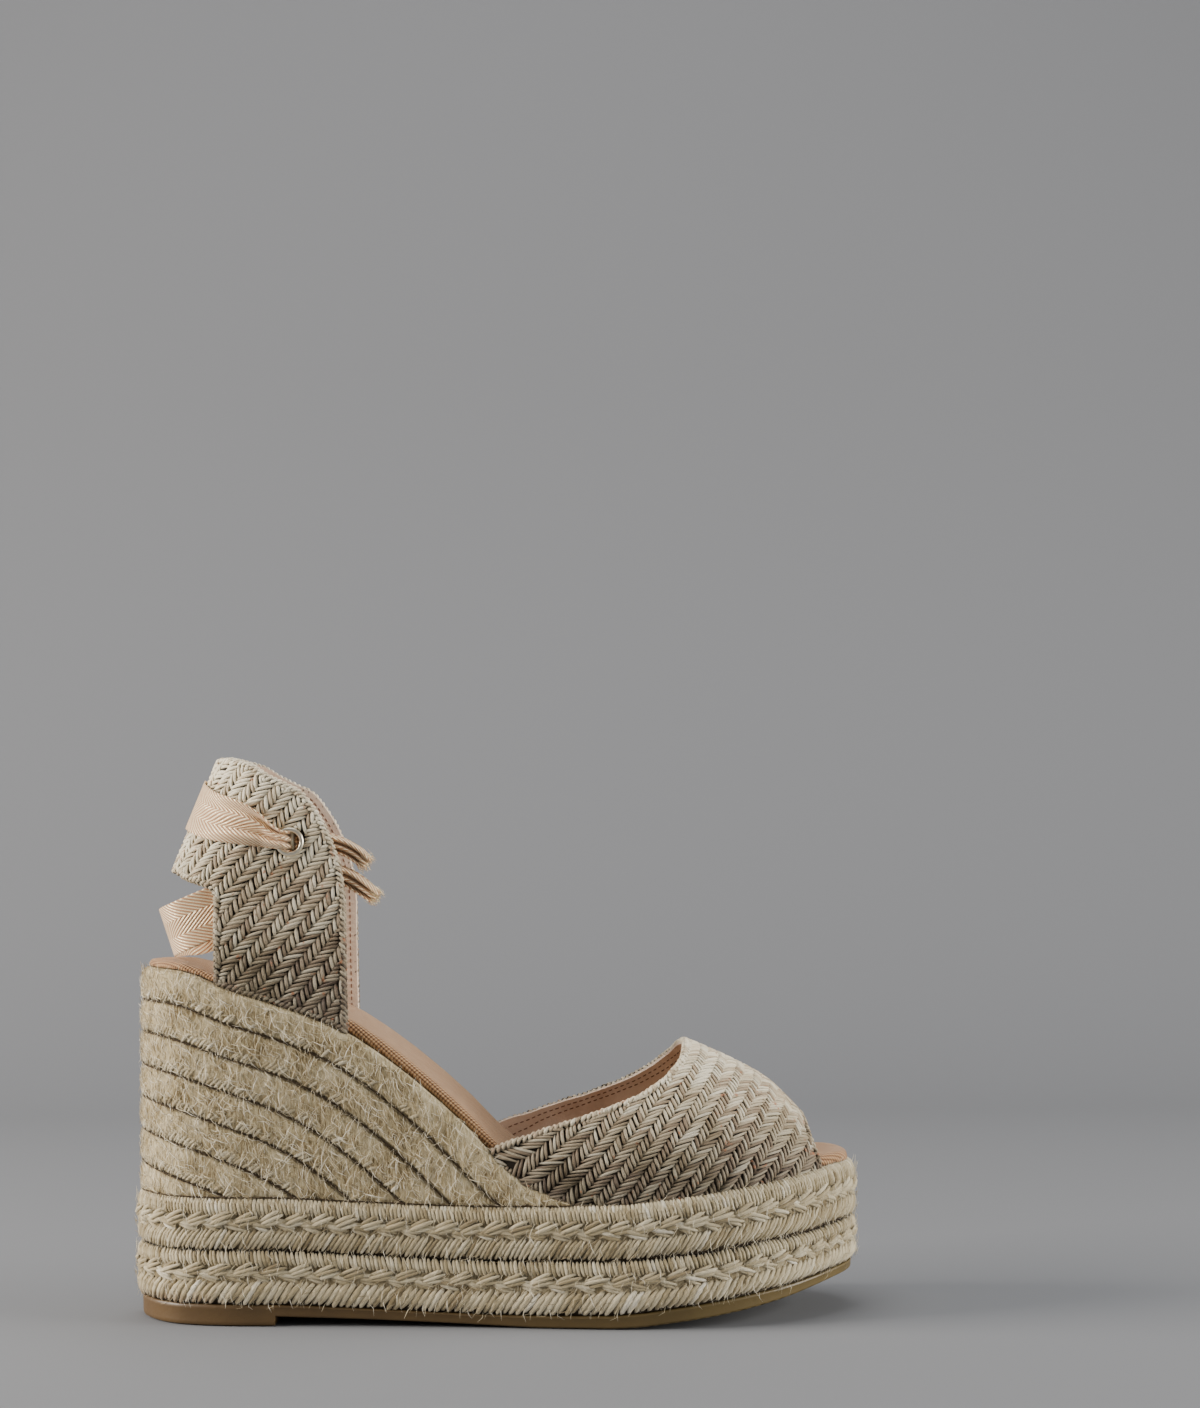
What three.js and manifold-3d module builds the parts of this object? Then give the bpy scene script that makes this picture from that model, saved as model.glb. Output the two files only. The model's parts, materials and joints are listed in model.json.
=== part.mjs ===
// Espadrille sandal for the right foot: high jute wedge, two braided platform layers, woven upper.
// Millimetres. +X runs to the toe, -Y is the outer (lateral) side, +Z is up, the floor is z = 0.
import * as THREE from "three";
import { mergeVertices } from "three/addons/utils/BufferGeometryUtils.js";
import Module from "manifold-3d";

const wasm = await Module();
wasm.setup();

// Driving dimensions of the sole
const soleLength = 233;
const ballWidth = 83;
const toeSpring = 12.2;
const rubberHeight = 6.9;
const heelBlockLength = 47;
const waistGap = 2.8;
const waistEnd = 128;
const rubberSetback = 1.6;
const rubberRounding = 1.4;
const braidHeight = 16.4;
const braidRelief = 1.5;
const wedgeRise = 71.6;
const wedgeSetback = 1.5;
const wedgeLength = 139.5;
const ropeHeight = 10.25;
const ropeRelief = 1.1;
const insoleHeight = 4.8;
const insoleRounding = 4.5;

// Driving dimensions of the upper: places along are from the heel's back, up from the heel's seat
const upperWall = 2;
const upperLedge = 1.1;
const stripRelief = 0.45;
const vampHeight = 47.5;
const vampFullness = 0.86;
const vampRear = 114.5;
const vampLength = 106.5;
const vampStrip = 8.8;
const vampStripAngle = 50;
const quarterHeight = 66.7;
const quarterFront = 69.7;
const quarterLength = 43.4;
const strapDepth = 26;
const strapBack = 11.9;
const strapUp = 31.5;
const strapLean = 0.41;
const seatBlend = 44;
const quarterStrip = 9.3;
const quarterStripAngle = 65;

// Driving dimensions of the eyelets and the ribbon
const eyeletAlong = 51.6;
const eyeletUp = 40;
const eyeletBore = 3.2;
const eyeletFlange = 4.4;
const eyeletBarrelWall = 0.35;
const eyeletRim = 0.8;
const ribbonWidth = 16;
const ribbonThickness = 0.9;

// Clearance between pieces that touch on the real sandal
const gap = 0.3;

// Reach of each side of the platform's outline, in shares of ballWidth, at shares of soleLength
const outlineRows = [
  { at: 0, lateral: 0, medial: 0 },
  { at: 0.013, lateral: 0.131, medial: 0.125 },
  { at: 0.034, lateral: 0.22, medial: 0.211 },
  { at: 0.077, lateral: 0.307, medial: 0.295 },
  { at: 0.15, lateral: 0.355, medial: 0.343 },
  { at: 0.236, lateral: 0.367, medial: 0.349 },
  { at: 0.343, lateral: 0.386, medial: 0.337 },
  { at: 0.45, lateral: 0.416, medial: 0.349 },
  { at: 0.536, lateral: 0.452, medial: 0.38 },
  { at: 0.622, lateral: 0.488, medial: 0.422 },
  { at: 0.687, lateral: 0.506, medial: 0.458 },
  { at: 0.751, lateral: 0.5, medial: 0.482 },
  { at: 0.815, lateral: 0.464, medial: 0.488 },
  { at: 0.88, lateral: 0.386, medial: 0.47 },
  { at: 0.931, lateral: 0.277, medial: 0.416 },
  { at: 0.974, lateral: 0.133, medial: 0.313 },
  { at: 1, lateral: -0.06, medial: 0.06 },
];

// Heights of the stack, in shares of toeSpring, rubberHeight and braidHeight
const stackRows = [
  { at: 0, spring: 0, rubber: 1, lower: 1, upper: 1 },
  { at: 0.19, spring: 0, rubber: 1, lower: 1, upper: 0.985 },
  { at: 0.32, spring: 0, rubber: 0.85, lower: 0.98, upper: 0.99 },
  { at: 0.44, spring: 0, rubber: 0.67, lower: 0.98, upper: 1 },
  { at: 0.54, spring: 0, rubber: 0.6, lower: 1, upper: 1.01 },
  { at: 0.665, spring: 0, rubber: 0.64, lower: 0.99, upper: 1.03 },
  { at: 0.706, spring: 0.066, rubber: 0.68, lower: 0.97, upper: 1.04 },
  { at: 0.755, spring: 0.18, rubber: 0.69, lower: 0.94, upper: 1.06 },
  { at: 0.798, spring: 0.285, rubber: 0.68, lower: 0.93, upper: 1.07 },
  { at: 0.845, spring: 0.435, rubber: 0.65, lower: 0.92, upper: 1.07 },
  { at: 0.893, spring: 0.615, rubber: 0.57, lower: 0.88, upper: 1.1 },
  { at: 0.931, spring: 0.78, rubber: 0.5, lower: 0.85, upper: 1.11 },
  { at: 0.957, spring: 0.88, rubber: 0.48, lower: 0.84, upper: 1.1 },
  { at: 1, spring: 1, rubber: 0.46, lower: 0.83, upper: 1.04 },
];

// Height of the recess under the waist of the rubber, in shares of waistGap and of its own length
const waistRows = [
  { at: 0, gap: 1 },
  { at: 0.33, gap: 0.74 },
  { at: 0.66, gap: 0.38 },
  { at: 1, gap: 0 },
];

// Top edge of the wedge over the platform, in shares of wedgeRise
const wedgeRows = [
  { at: 0, rise: 1 },
  { at: 0.06, rise: 0.995 },
  { at: 0.1, rise: 0.965 },
  { at: 0.127, rise: 0.925 },
  { at: 0.2, rise: 0.85 },
  { at: 0.29, rise: 0.752 },
  { at: 0.333, rise: 0.672 },
  { at: 0.386, rise: 0.552 },
  { at: 0.445, rise: 0.394 },
  { at: 0.484, rise: 0.268 },
  { at: 0.514, rise: 0.162 },
  { at: 0.533, rise: 0.11 },
  { at: 0.563, rise: 0.066 },
  { at: 0.6, rise: 0.022 },
  { at: 0.625, rise: 0 },
];

// Padded insole: share of insoleHeight, and setback in shares of the upper's own setback
const insoleRows = [
  { at: 0, height: 0.5, setback: 0.72 },
  { at: 0.11, height: 0.55, setback: 1 },
  { at: 0.25, height: 0.9, setback: 1 },
  { at: 0.36, height: 1, setback: 1 },
  { at: 0.55, height: 1, setback: 1 },
  { at: 0.7, height: 0.9, setback: 1 },
  { at: 0.95, height: 0.85, setback: 1 },
  { at: 1, height: 0.82, setback: 0.5 },
];

// Ridge of the vamp over the platform, in shares of vampHeight
const ridgeRows = [
  { at: 0.48, height: 1.75 },
  { at: 0.6, height: 1.4 },
  { at: 0.7, height: 1.11 },
  { at: 0.76, height: 0.975 },
  { at: 0.79, height: 0.895 },
  { at: 0.843, height: 0.735 },
  { at: 0.876, height: 0.615 },
  { at: 0.902, height: 0.48 },
  { at: 0.927, height: 0.335 },
  { at: 0.95, height: 0.2 },
];

// Throat and toe edges of the vamp, in shares of vampLength, at shares of the way round the arch
const vampEdgeRows = [
  { around: 0, throat: 0, toe: 1 },
  { around: 0.05, throat: 0.1, toe: 1 },
  { around: 0.1, throat: 0.225, toe: 0.996 },
  { around: 0.15, throat: 0.35, toe: 0.985 },
  { around: 0.2, throat: 0.45, toe: 0.975 },
  { around: 0.27, throat: 0.53, toe: 0.965 },
  { around: 0.36, throat: 0.575, toe: 0.957 },
  { around: 0.5, throat: 0.588, toe: 0.953 },
  { around: 0.64, throat: 0.565, toe: 0.957 },
  { around: 0.73, throat: 0.515, toe: 0.965 },
  { around: 0.8, throat: 0.435, toe: 0.978 },
  { around: 0.85, throat: 0.34, toe: 0.988 },
  { around: 0.9, throat: 0.215, toe: 0.997 },
  { around: 0.95, throat: 0.09, toe: 1 },
  { around: 1, throat: -0.01, toe: 1 },
];

// Front and top edge of the heel quarter: height in shares of its rise, setback in shares of quarterLength
const quarterEdgeRows = [
  { up: 0, back: 0 },
  { up: 0.31, back: 0.014 },
  { up: 0.465, back: 0.018 },
  { up: 0.58, back: 0.044 },
  { up: 0.673, back: 0.1 },
  { up: 0.746, back: 0.16 },
  { up: 0.83, back: 0.265 },
  { up: 0.877, back: 0.345 },
  { up: 0.906, back: 0.46 },
  { up: 0.943, back: 0.606 },
  { up: 0.98, back: 0.726 },
  { up: 1, back: 0.87 },
];

// Rear edge of each ankle panel and the lower edge of the back strap, in the same shares
const quarterRearRows = [
  { up: 0, back: 0.942 },
  { up: 0.18, back: 0.965 },
  { up: 0.49, back: 0.972 },
  { up: 0.515, back: 0.99 },
  { up: 0.53, back: 1.03 },
  { up: 0.552, back: 1.16 },
  { up: 0.572, back: 1.27 },
];

// Half width of the quarter at its arc and how much each side spreads towards the front
const quarterSides = [
  { name: "lateral", sign: -1, reach: 24.6, spread: 0.05 },
  { name: "medial", sign: 1, reach: 24, spread: 0.015 },
];

// Ribbon round the back strap from eyelet to centre back: height over the eyelet and width, in shares
const bandRows = [
  { along: 0, up: 0, width: 0.26, out: -0.5 },
  { along: 0.03, up: 0.03, width: 0.28, out: 1.3 },
  { along: 0.05, up: 0.05, width: 0.32, out: 2.2 },
  { along: 0.12, up: 0.14, width: 0.46, out: 1.8 },
  { along: 0.22, up: 0.32, width: 0.66, out: 1.1 },
  { along: 0.36, up: 0.5, width: 0.84, out: 1 },
  { along: 0.56, up: 0.66, width: 0.95, out: 1 },
  { along: 0.78, up: 0.86, width: 1, out: 1 },
  { along: 1, up: 1, width: 1, out: 1 },
];
const bandRise = 12;
const bandSteps = 22;
const bandClearance = 1;

// Long ribbon tail: from the inner eyelet down behind the heel and forward past the outer panel,
// along from the heel's back and up from the heel's seat
const longTailRows = [
  { along: 51, y: 19.8, up: 39.7, width: 4.6, tilt: 0 },
  { along: 45.5, y: 19.2, up: 35.7, width: 8, tilt: 0 },
  { along: 38.5, y: 18.8, up: 29.2, width: 12.5, tilt: 0 },
  { along: 31.5, y: 18.6, up: 22.2, width: 15.5, tilt: 0 },
  { along: 24.5, y: 18.2, up: 17.2, width: 16, tilt: -0.08 },
  { along: 18, y: 17.4, up: 13.9, width: 16, tilt: -0.2 },
  { along: 13.1, y: 13.6, up: 12, width: 16, tilt: -0.3 },
  { along: 10.5, y: 6, up: 11.1, width: 16, tilt: -0.33 },
  { along: 9.9, y: -2, up: 10.9, width: 16, tilt: -0.33 },
  { along: 11.2, y: -10, up: 11.5, width: 16, tilt: -0.32 },
  { along: 15.3, y: -16.8, up: 13.1, width: 16, tilt: -0.26 },
  { along: 21.5, y: -19.2, up: 15.7, width: 16, tilt: -0.14 },
  { along: 29, y: -19.8, up: 18.7, width: 16, tilt: -0.04 },
  { along: 37.5, y: -20.2, up: 22.3, width: 15, tilt: 0 },
  { along: 46.5, y: -20.6, up: 26.1, width: 12, tilt: 0 },
  { along: 55.5, y: -21.2, up: 29.3, width: 9.5, tilt: 0 },
  { along: 63.5, y: -21.8, up: 30.7, width: 8, tilt: 0.1 },
  { along: 69.5, y: -22.8, up: 29.7, width: 7, tilt: 0.2 },
  { along: 75, y: -24, up: 25.9, width: 6, tilt: 0.2 },
  { along: 79.1, y: -25, up: 22.5, width: 4.5, tilt: 0.1 },
];

// Short ribbon tail: from the outer eyelet forward past the panel's front edge
const shortTailRows = [
  { along: 54, y: -20.6, up: 40.7, width: 4.6, tilt: 0 },
  { along: 58.5, y: -20.4, up: 41.3, width: 6, tilt: 0 },
  { along: 64, y: -21, up: 40.7, width: 7, tilt: 0 },
  { along: 69, y: -21.2, up: 38.7, width: 7, tilt: 0.1 },
  { along: 73.1, y: -21.6, up: 36.5, width: 7, tilt: 0.2 },
  { along: 75.9, y: -21.8, up: 34.5, width: 6, tilt: 0.2 },
];

const halfLength = soleLength / 2;
const upperSetback = wedgeSetback + upperLedge;
const insoleSetback = upperSetback + upperWall + 2 * gap;
const toRadians = Math.PI / 180;
const turnStep = 0.05;

// Value of a table's column on a smooth curve that never swings past its rows
function flow(rows, column, value, key = "at") {
  const last = rows.length - 1;
  const clamped = Math.min(Math.max(value, rows[0][key]), rows[last][key]);
  let i = 0;
  while (i < last - 1 && clamped > rows[i + 1][key]) i += 1;
  const secant = (n) =>
    (rows[n + 1][column] - rows[n][column]) / (rows[n + 1][key] - rows[n][key]);
  const slope = (n) => {
    if (n === 0) return secant(0);
    if (n === last) return secant(last - 1);
    const before = secant(n - 1);
    const after = secant(n);
    return before * after > 0 ? (2 * before * after) / (before + after) : 0;
  };
  const span = rows[i + 1][key] - rows[i][key];
  const t = (clamped - rows[i][key]) / span;
  const rise = t * t * (3 - 2 * t);
  return (
    rows[i][column] * (1 - rise) +
    rows[i + 1][column] * rise +
    span * (slope(i) * t * (1 - t) * (1 - t) - slope(i + 1) * t * t * (1 - t))
  );
}

// A station is the turn of a half circle whose foot gives its place along the sole
const turnAt = (share) => Math.acos(1 - 2 * Math.min(Math.max(share, 0), 1));
const shareAt = (turn) => (1 - Math.cos(turn)) / 2;
const shareOfX = (x) => (x + halfLength) / soleLength;
const turnedOutline = outlineRows.map((row) => ({ ...row, turn: turnAt(row.at) }));

const stationCount = 40;
const stationTurns = Array.from({ length: stationCount + 1 }, (_, i) => (Math.PI * i) / stationCount);
const stationXs = stationTurns.map((turn) => soleLength * shareAt(turn) - halfLength);

// Point of the outline: turns past either end carry on along the other side
function edgePoint(turn, side) {
  const past = turn < 0 || turn > Math.PI;
  const inside = past ? Math.abs(turn < 0 ? turn : 2 * Math.PI - turn) : turn;
  const lateral = (side === "lateral") !== past;
  const reach = ballWidth * flow(turnedOutline, lateral ? "lateral" : "medial", inside, "turn");
  return new THREE.Vector2(soleLength * shareAt(inside) - halfLength, lateral ? -reach : reach);
}

// Point set in from the outline: straight across along the sides, square to the outline at the ends
function insetPoint(turn, side, inset) {
  const edge = edgePoint(turn, side);
  const along = edgePoint(turn + turnStep, side).sub(edgePoint(turn - turnStep, side)).normalize();
  const inward = side === "lateral" ? inset : -inset;
  const square = edge.clone().add(new THREE.Vector2(-along.y, along.x).multiplyScalar(inward));
  const across = edge.clone().add(new THREE.Vector2(0, inward / Math.max(Math.abs(along.x), 0.5)));
  return across.lerp(square, THREE.MathUtils.smoothstep(Math.abs(along.y), 0.6, 0.85));
}

// Outline as one closed ring: out along the lateral side, back along the medial side.
// Every piece has the same stations, so that pieces lie flat on each other.
function ring(endShare, place) {
  const end = turnAt(endShare);
  const turns = stationTurns.filter((turn) => turn < end - stationTurns[1] / 3);
  turns.push(end);
  const lateral = turns.map((turn) => place(turn, "lateral"));
  const medial = turns.slice(1).map((turn) => place(turn, "medial"));
  return [...lateral, ...medial.reverse()];
}

// Height that is straight from station to station, so that one piece lies flat on the next
function straightened(heightAt) {
  const heights = stationXs.map(heightAt);
  return (x) => {
    let i = 0;
    while (i < stationCount - 1 && x > stationXs[i + 1]) i += 1;
    const share = (x - stationXs[i]) / (stationXs[i + 1] - stationXs[i]);
    return heights[i] + (heights[i + 1] - heights[i]) * share;
  };
}

// Heights of the stack over the floor at a place along the sole
const stackHeight = (column, x) => flow(stackRows, column, shareOfX(x));
const soleZ = straightened((x) => toeSpring * stackHeight("spring", x));
const rubberTopZ = straightened((x) => soleZ(x) + rubberHeight * stackHeight("rubber", x));
const lowerTopZ = straightened((x) => rubberTopZ(x) + braidHeight * stackHeight("lower", x));
const platformZ = straightened((x) => lowerTopZ(x) + braidHeight * stackHeight("upper", x));
const seatZ = straightened((x) => platformZ(x) + wedgeRise * flow(wedgeRows, "rise", shareOfX(x)));

// Closed body from triangles whose points are shared by place
function bodyOf(triangles) {
  const points = [];
  const numbers = new Map();
  const numberOf = (p) => {
    const key = [p.x, p.y, p.z].map((v) => Math.round(v * 500)).join();
    if (!numbers.has(key)) {
      numbers.set(key, points.length / 3);
      points.push(p.x, p.y, p.z);
    }
    return numbers.get(key);
  };
  const index = [];
  for (const triangle of triangles) {
    const [a, b, c] = triangle.map(numberOf);
    if (a !== b && b !== c && c !== a) index.push(a, b, c);
  }
  const geometry = new THREE.BufferGeometry();
  geometry.setAttribute("position", new THREE.Float32BufferAttribute(points, 3));
  geometry.setIndex(index);
  return geometry;
}

const quad = (a, b, c, d) => [
  [a, b, c],
  [a, c, d],
];

// Body from rings of equal count, lowest first, closed below and above by strips across the sole
function stackBody(rings) {
  const triangles = [];
  const count = rings[0].length;
  for (let level = 0; level + 1 < rings.length; level += 1) {
    for (let i = 0; i < count; i += 1) {
      const next = (i + 1) % count;
      const [low, high] = [rings[level], rings[level + 1]];
      triangles.push(...quad(low[i], low[next], high[next], high[i]));
    }
  }
  const pairs = (count - 1) / 2;
  const [bottom, top] = [rings[0], rings[rings.length - 1]];
  for (let i = 0; i < pairs; i += 1) {
    const across = (count - i) % count;
    const ahead = count - i - 1;
    triangles.push(...quad(top[i], top[i + 1], top[ahead], top[across]));
    triangles.push(...quad(bottom[i], bottom[across], bottom[ahead], bottom[i + 1]));
  }
  return bodyOf(triangles);
}

// Shell between an outer and an inner grid of rows and columns, closed along its free edges
function shellTriangles(outer, inner, rearIsOpen = () => true) {
  const triangles = [];
  const last = outer[0].length - 1;
  const rows = outer.length - 1;
  for (let j = 0; j < rows; j += 1) {
    for (let i = 0; i < last; i += 1) {
      triangles.push(...quad(outer[j][i], outer[j][i + 1], outer[j + 1][i + 1], outer[j + 1][i]));
      triangles.push(...quad(inner[j][i], inner[j + 1][i], inner[j + 1][i + 1], inner[j][i + 1]));
    }
    triangles.push(...quad(outer[j][last], inner[j][last], inner[j + 1][last], outer[j + 1][last]));
    if (rearIsOpen(j)) {
      triangles.push(...quad(outer[j][0], outer[j + 1][0], inner[j + 1][0], inner[j][0]));
    }
  }
  for (let i = 0; i < last; i += 1) {
    triangles.push(...quad(outer[0][i], inner[0][i], inner[0][i + 1], outer[0][i + 1]));
    triangles.push(...quad(outer[rows][i], outer[rows][i + 1], inner[rows][i + 1], inner[rows][i]));
  }
  return triangles;
}

const turnedOver = (triangles) => triangles.map(([a, b, c]) => [a, c, b]);

// Solid for joining and cutting
function solidOf(geometry) {
  const bare = geometry.clone();
  bare.deleteAttribute("normal");
  bare.deleteAttribute("uv");
  const merged = mergeVertices(bare, 1e-4);
  return new wasm.Manifold(
    new wasm.Mesh({
      numProp: 3,
      vertProperties: merged.attributes.position.array,
      triVerts: new Uint32Array(merged.index.array),
    }),
  );
}

function geometryOf(solid) {
  const mesh = solid.getMesh();
  const geometry = new THREE.BufferGeometry();
  geometry.setAttribute("position", new THREE.BufferAttribute(mesh.vertProperties, 3));
  geometry.setIndex(new THREE.BufferAttribute(mesh.triVerts, 1));
  return geometry;
}

// Rubber outsole: level heel block, recess under the waist, ball on the floor, sprung toe
function outsoleGeometry() {
  const levels = [
    { up: 0, inset: 1 },
    { up: 0.22, inset: 0.28 },
    { up: 0.9, inset: 0.2 },
    { up: 1, inset: 0.43 },
  ];
  const rings = levels.map(({ up, inset }) =>
    ring(1, (turn, side) => {
      const p = insetPoint(turn, side, rubberSetback + rubberRounding * inset);
      const z = soleZ(p.x) * (1 - up) + (rubberTopZ(p.x) - gap) * up;
      return new THREE.Vector3(p.x, p.y, z);
    }),
  );
  const heelFront = heelBlockLength - halfLength;
  const recessLength = waistEnd - heelBlockLength;
  const profile = new THREE.Shape();
  profile.moveTo(heelFront, -waistGap);
  for (const row of waistRows) {
    profile.lineTo(heelFront + row.at * recessLength, waistGap * row.gap);
  }
  profile.lineTo(heelFront + recessLength, -waistGap);
  profile.closePath();
  const recess = new THREE.ExtrudeGeometry(profile, { depth: 2 * ballWidth, bevelEnabled: false });
  recess.rotateX(Math.PI / 2);
  recess.translate(0, ballWidth, 0);
  return geometryOf(solidOf(stackBody(rings)).subtract(solidOf(recess)));
}

// Side of one braided layer: band, raised plait and band, in shares of its height and braidRelief
const braidProfile = [
  { up: 0, inset: 1 },
  { up: 0.12, inset: 0.3 },
  { up: 0.36, inset: 0.5 },
  { up: 0.5, inset: 0 },
  { up: 0.64, inset: 0.5 },
  { up: 0.88, inset: 0.3 },
  { up: 1, inset: 1 },
];

function braidGeometry(lowZ, highZ) {
  const rings = braidProfile.map(({ up, inset }) =>
    ring(1, (turn, side) => {
      const p = insetPoint(turn, side, braidRelief * inset);
      return new THREE.Vector3(p.x, p.y, lowZ(p.x) * (1 - up) + (highZ(p.x) - gap) * up);
    }),
  );
  return stackBody(rings);
}

// Wedge of rope rows that run parallel to its top edge and fade out at the platform
const rimCount = 90;
const rimCurve = Array.from({ length: rimCount + 1 }, (_, i) => {
  const x = -halfLength + (wedgeLength * 1.15 * i) / rimCount;
  return new THREE.Vector2(x, seatZ(x));
});

function rimDistance(x, z) {
  let nearest = Infinity;
  for (let i = 0; i < rimCount; i += 1) {
    const [a, b] = [rimCurve[i], rimCurve[i + 1]];
    const length = a.distanceTo(b);
    const share = ((x - a.x) * (b.x - a.x) + (z - a.y) * (b.y - a.y)) / (length * length);
    const t = Math.min(Math.max(share, 0), 1);
    nearest = Math.min(nearest, Math.hypot(a.x + (b.x - a.x) * t - x, a.y + (b.y - a.y) * t - z));
  }
  return nearest;
}

// Height at which a column of the wedge's side is a given distance below its top edge
function ropeZ(x, distance) {
  const floor = platformZ(x) + gap;
  let [low, high] = [floor, seatZ(x)];
  if (distance <= 0) return high;
  if (rimDistance(x, low) <= distance) return floor;
  for (let i = 0; i < 14; i += 1) {
    const middle = (low + high) / 2;
    if (rimDistance(x, middle) > distance) low = middle;
    else high = middle;
  }
  return (low + high) / 2;
}

function wedgeGeometry() {
  const ropeProfile = [
    { down: 0.86, inset: 0.32 },
    { down: 0.5, inset: 0 },
    { down: 0.14, inset: 0.32 },
    { down: 0, inset: 1 },
  ];
  const ropes = Math.ceil(wedgeRise / ropeHeight);
  const levels = [{ distance: ropes * ropeHeight, inset: 1 }];
  for (let row = ropes - 1; row >= 0; row -= 1) {
    for (const { down, inset } of ropeProfile) {
      levels.push({ distance: (row + down) * ropeHeight, inset });
    }
  }
  const endShare = wedgeLength / soleLength;
  const rings = levels.map(({ distance, inset }) =>
    ring(endShare, (turn, side) => {
      const x = edgePoint(turn, side).x;
      const z = ropeZ(x, distance);
      const resting = z <= platformZ(x) + gap;
      const relief = ropeRelief * (resting ? 1 : inset);
      const p = insetPoint(turn, side, wedgeSetback + relief);
      return new THREE.Vector3(p.x, p.y, z);
    }),
  );
  return stackBody(rings);
}

// Canvas-covered insole with a rounded rim, lying on the wedge and the platform
function insoleGeometry() {
  const profile = [
    { up: 0, inset: 0.11 },
    { up: 0.3, inset: 0 },
    { up: 0.7, inset: 0.09 },
    { up: 0.93, inset: 0.38 },
    { up: 1, inset: 1 },
  ];
  const rings = profile.map(({ up, inset }) =>
    ring(1, (turn, side) => {
      const setback = insoleSetback * flow(insoleRows, "setback", shareAt(turn));
      const p = insetPoint(turn, side, setback + insoleRounding * inset);
      const height = insoleHeight * flow(insoleRows, "height", shareOfX(p.x));
      return new THREE.Vector3(p.x, p.y, seatZ(p.x) + gap + height * up);
    }),
  );
  return stackBody(rings);
}

// Vamp: an arch over the forefoot at each station, from the lateral to the medial edge of the seat
function vampPoint(s, around) {
  const turn = turnAt(s / soleLength);
  const lateral = insetPoint(turn, "lateral", upperSetback);
  const medial = insetPoint(turn, "medial", upperSetback);
  const angle = Math.PI * around;
  const across = Math.sign(Math.cos(angle)) * Math.abs(Math.cos(angle)) ** vampFullness;
  const [x, y] = [
    (lateral.x * (1 + across) + medial.x * (1 - across)) / 2,
    (lateral.y * (1 + across) + medial.y * (1 - across)) / 2,
  ];
  const base = seatZ(x) + gap;
  return new THREE.Vector3(x, y, base + vampRise(s, base) * Math.sin(angle) ** vampFullness);
}

function vampRise(s, base) {
  const x = s - halfLength;
  return platformZ(x) + vampHeight * flow(ridgeRows, "height", s / soleLength) - base;
}

function normalOf(pointAt, u, v, uStep, vStep) {
  const along = pointAt(u + uStep, v).sub(pointAt(u - uStep, v));
  const round = pointAt(u, v + vStep).sub(pointAt(u, v - vStep));
  return along.cross(round).normalize();
}

// Square to the arch, and level where it stands on the seat
function vampNormal(s, around) {
  if (around === 0 || around === 1) return new THREE.Vector3(0, around === 0 ? -1 : 1, 0);
  return normalOf(vampPoint, s, around, 0.3, 0.003);
}

// Relief across one woven strip, in shares of stripRelief
const stripProfile = [0, 1, 1];
const leanPasses = 6;
const vampRows = 20;
const vampRowShares = Array.from({ length: vampRows + 1 }, (_, i) => {
  const even = i / vampRows;
  return (even + (1 - Math.cos(Math.PI * even)) / 2) / 2;
});

function vampGeometry() {
  const lean = Math.tan(vampStripAngle * toRadians);
  const pitch = vampStrip / stripProfile.length;
  const columns = Math.ceil(vampLength / pitch) + 2;
  const outer = [];
  const inner = [];
  for (const around of vampRowShares) {
    const throat = vampRear + vampLength * flow(vampEdgeRows, "throat", around, "around");
    const toe = vampRear + vampLength * flow(vampEdgeRows, "toe", around, "around");
    const outerRow = [];
    const innerRow = [];
    for (let i = 0; i <= columns; i += 1) {
      const start = vampRear + (i - 1) * pitch;
      let s = start;
      for (let pass = 0; pass < leanPasses; pass += 1) {
        const p = vampPoint(Math.min(Math.max(s, throat), toe), around);
        s = (s + start + (p.z - seatZ(p.x)) / lean) / 2;
      }
      const held = Math.min(Math.max(s, throat), toe);
      const free = held === s && around > 0 && around < 1;
      const relief = free ? stripRelief * stripProfile[i % stripProfile.length] : 0;
      const form = vampPoint(held, around);
      const normal = vampNormal(held, around);
      outerRow.push(form.clone().addScaledVector(normal, relief));
      innerRow.push(form.clone().addScaledVector(normal, -upperWall));
    }
    outer.push(outerRow);
    inner.push(innerRow);
  }
  return bodyOf(shellTriangles(outer, inner));
}

// Heel quarter: a band round the ankle, told by its height and the way round from centre back
const heelSeatZ = seatZ(-halfLength);
const quarterTop = heelSeatZ + quarterHeight;
const quarterFrontX = quarterFront - halfLength;
const eyeletX = eyeletAlong - halfLength;
const eyeletZ = heelSeatZ + eyeletUp;
const strapBackAt = (z) => strapBack - halfLength + strapLean * (z - heelSeatZ - strapUp);
const quarterBaseZ = seatZ(quarterFrontX) + gap;
const quarterRise = quarterTop - quarterBaseZ;

const sideOf = (sign) => quarterSides.find((side) => side.sign === sign);

// Length of a quarter of the back's arc
const arcLength = ({ reach }) => (Math.PI / 2) * Math.sqrt((strapDepth ** 2 + reach ** 2) / 2);

// The sides stand on the edge of the seat and draw in to the ankle's own width above it
function quarterPoint(way, z) {
  const side = sideOf(way < 0 ? -1 : 1);
  const arc = arcLength(side);
  const centre = strapBackAt(z) + strapDepth;
  const past = Math.max(Math.abs(way) - arc, 0);
  const angle = (Math.PI / 2) * Math.min(Math.abs(way) / arc, 1);
  const x = past > 0 ? centre + past : centre - strapDepth * Math.cos(angle);
  const ankle = side.reach * Math.sin(angle) + side.spread * past;
  const seat = Math.abs(insetPoint(turnAt(shareOfX(x)), side.name, upperSetback).y);
  const up = Math.min((z - quarterBaseZ) / seatBlend, 1);
  const drawn = up < 0 ? 0 : up * up * (3 - 2 * up);
  return new THREE.Vector3(x, side.sign * (seat * (1 - drawn) + ankle * drawn), z);
}

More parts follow.
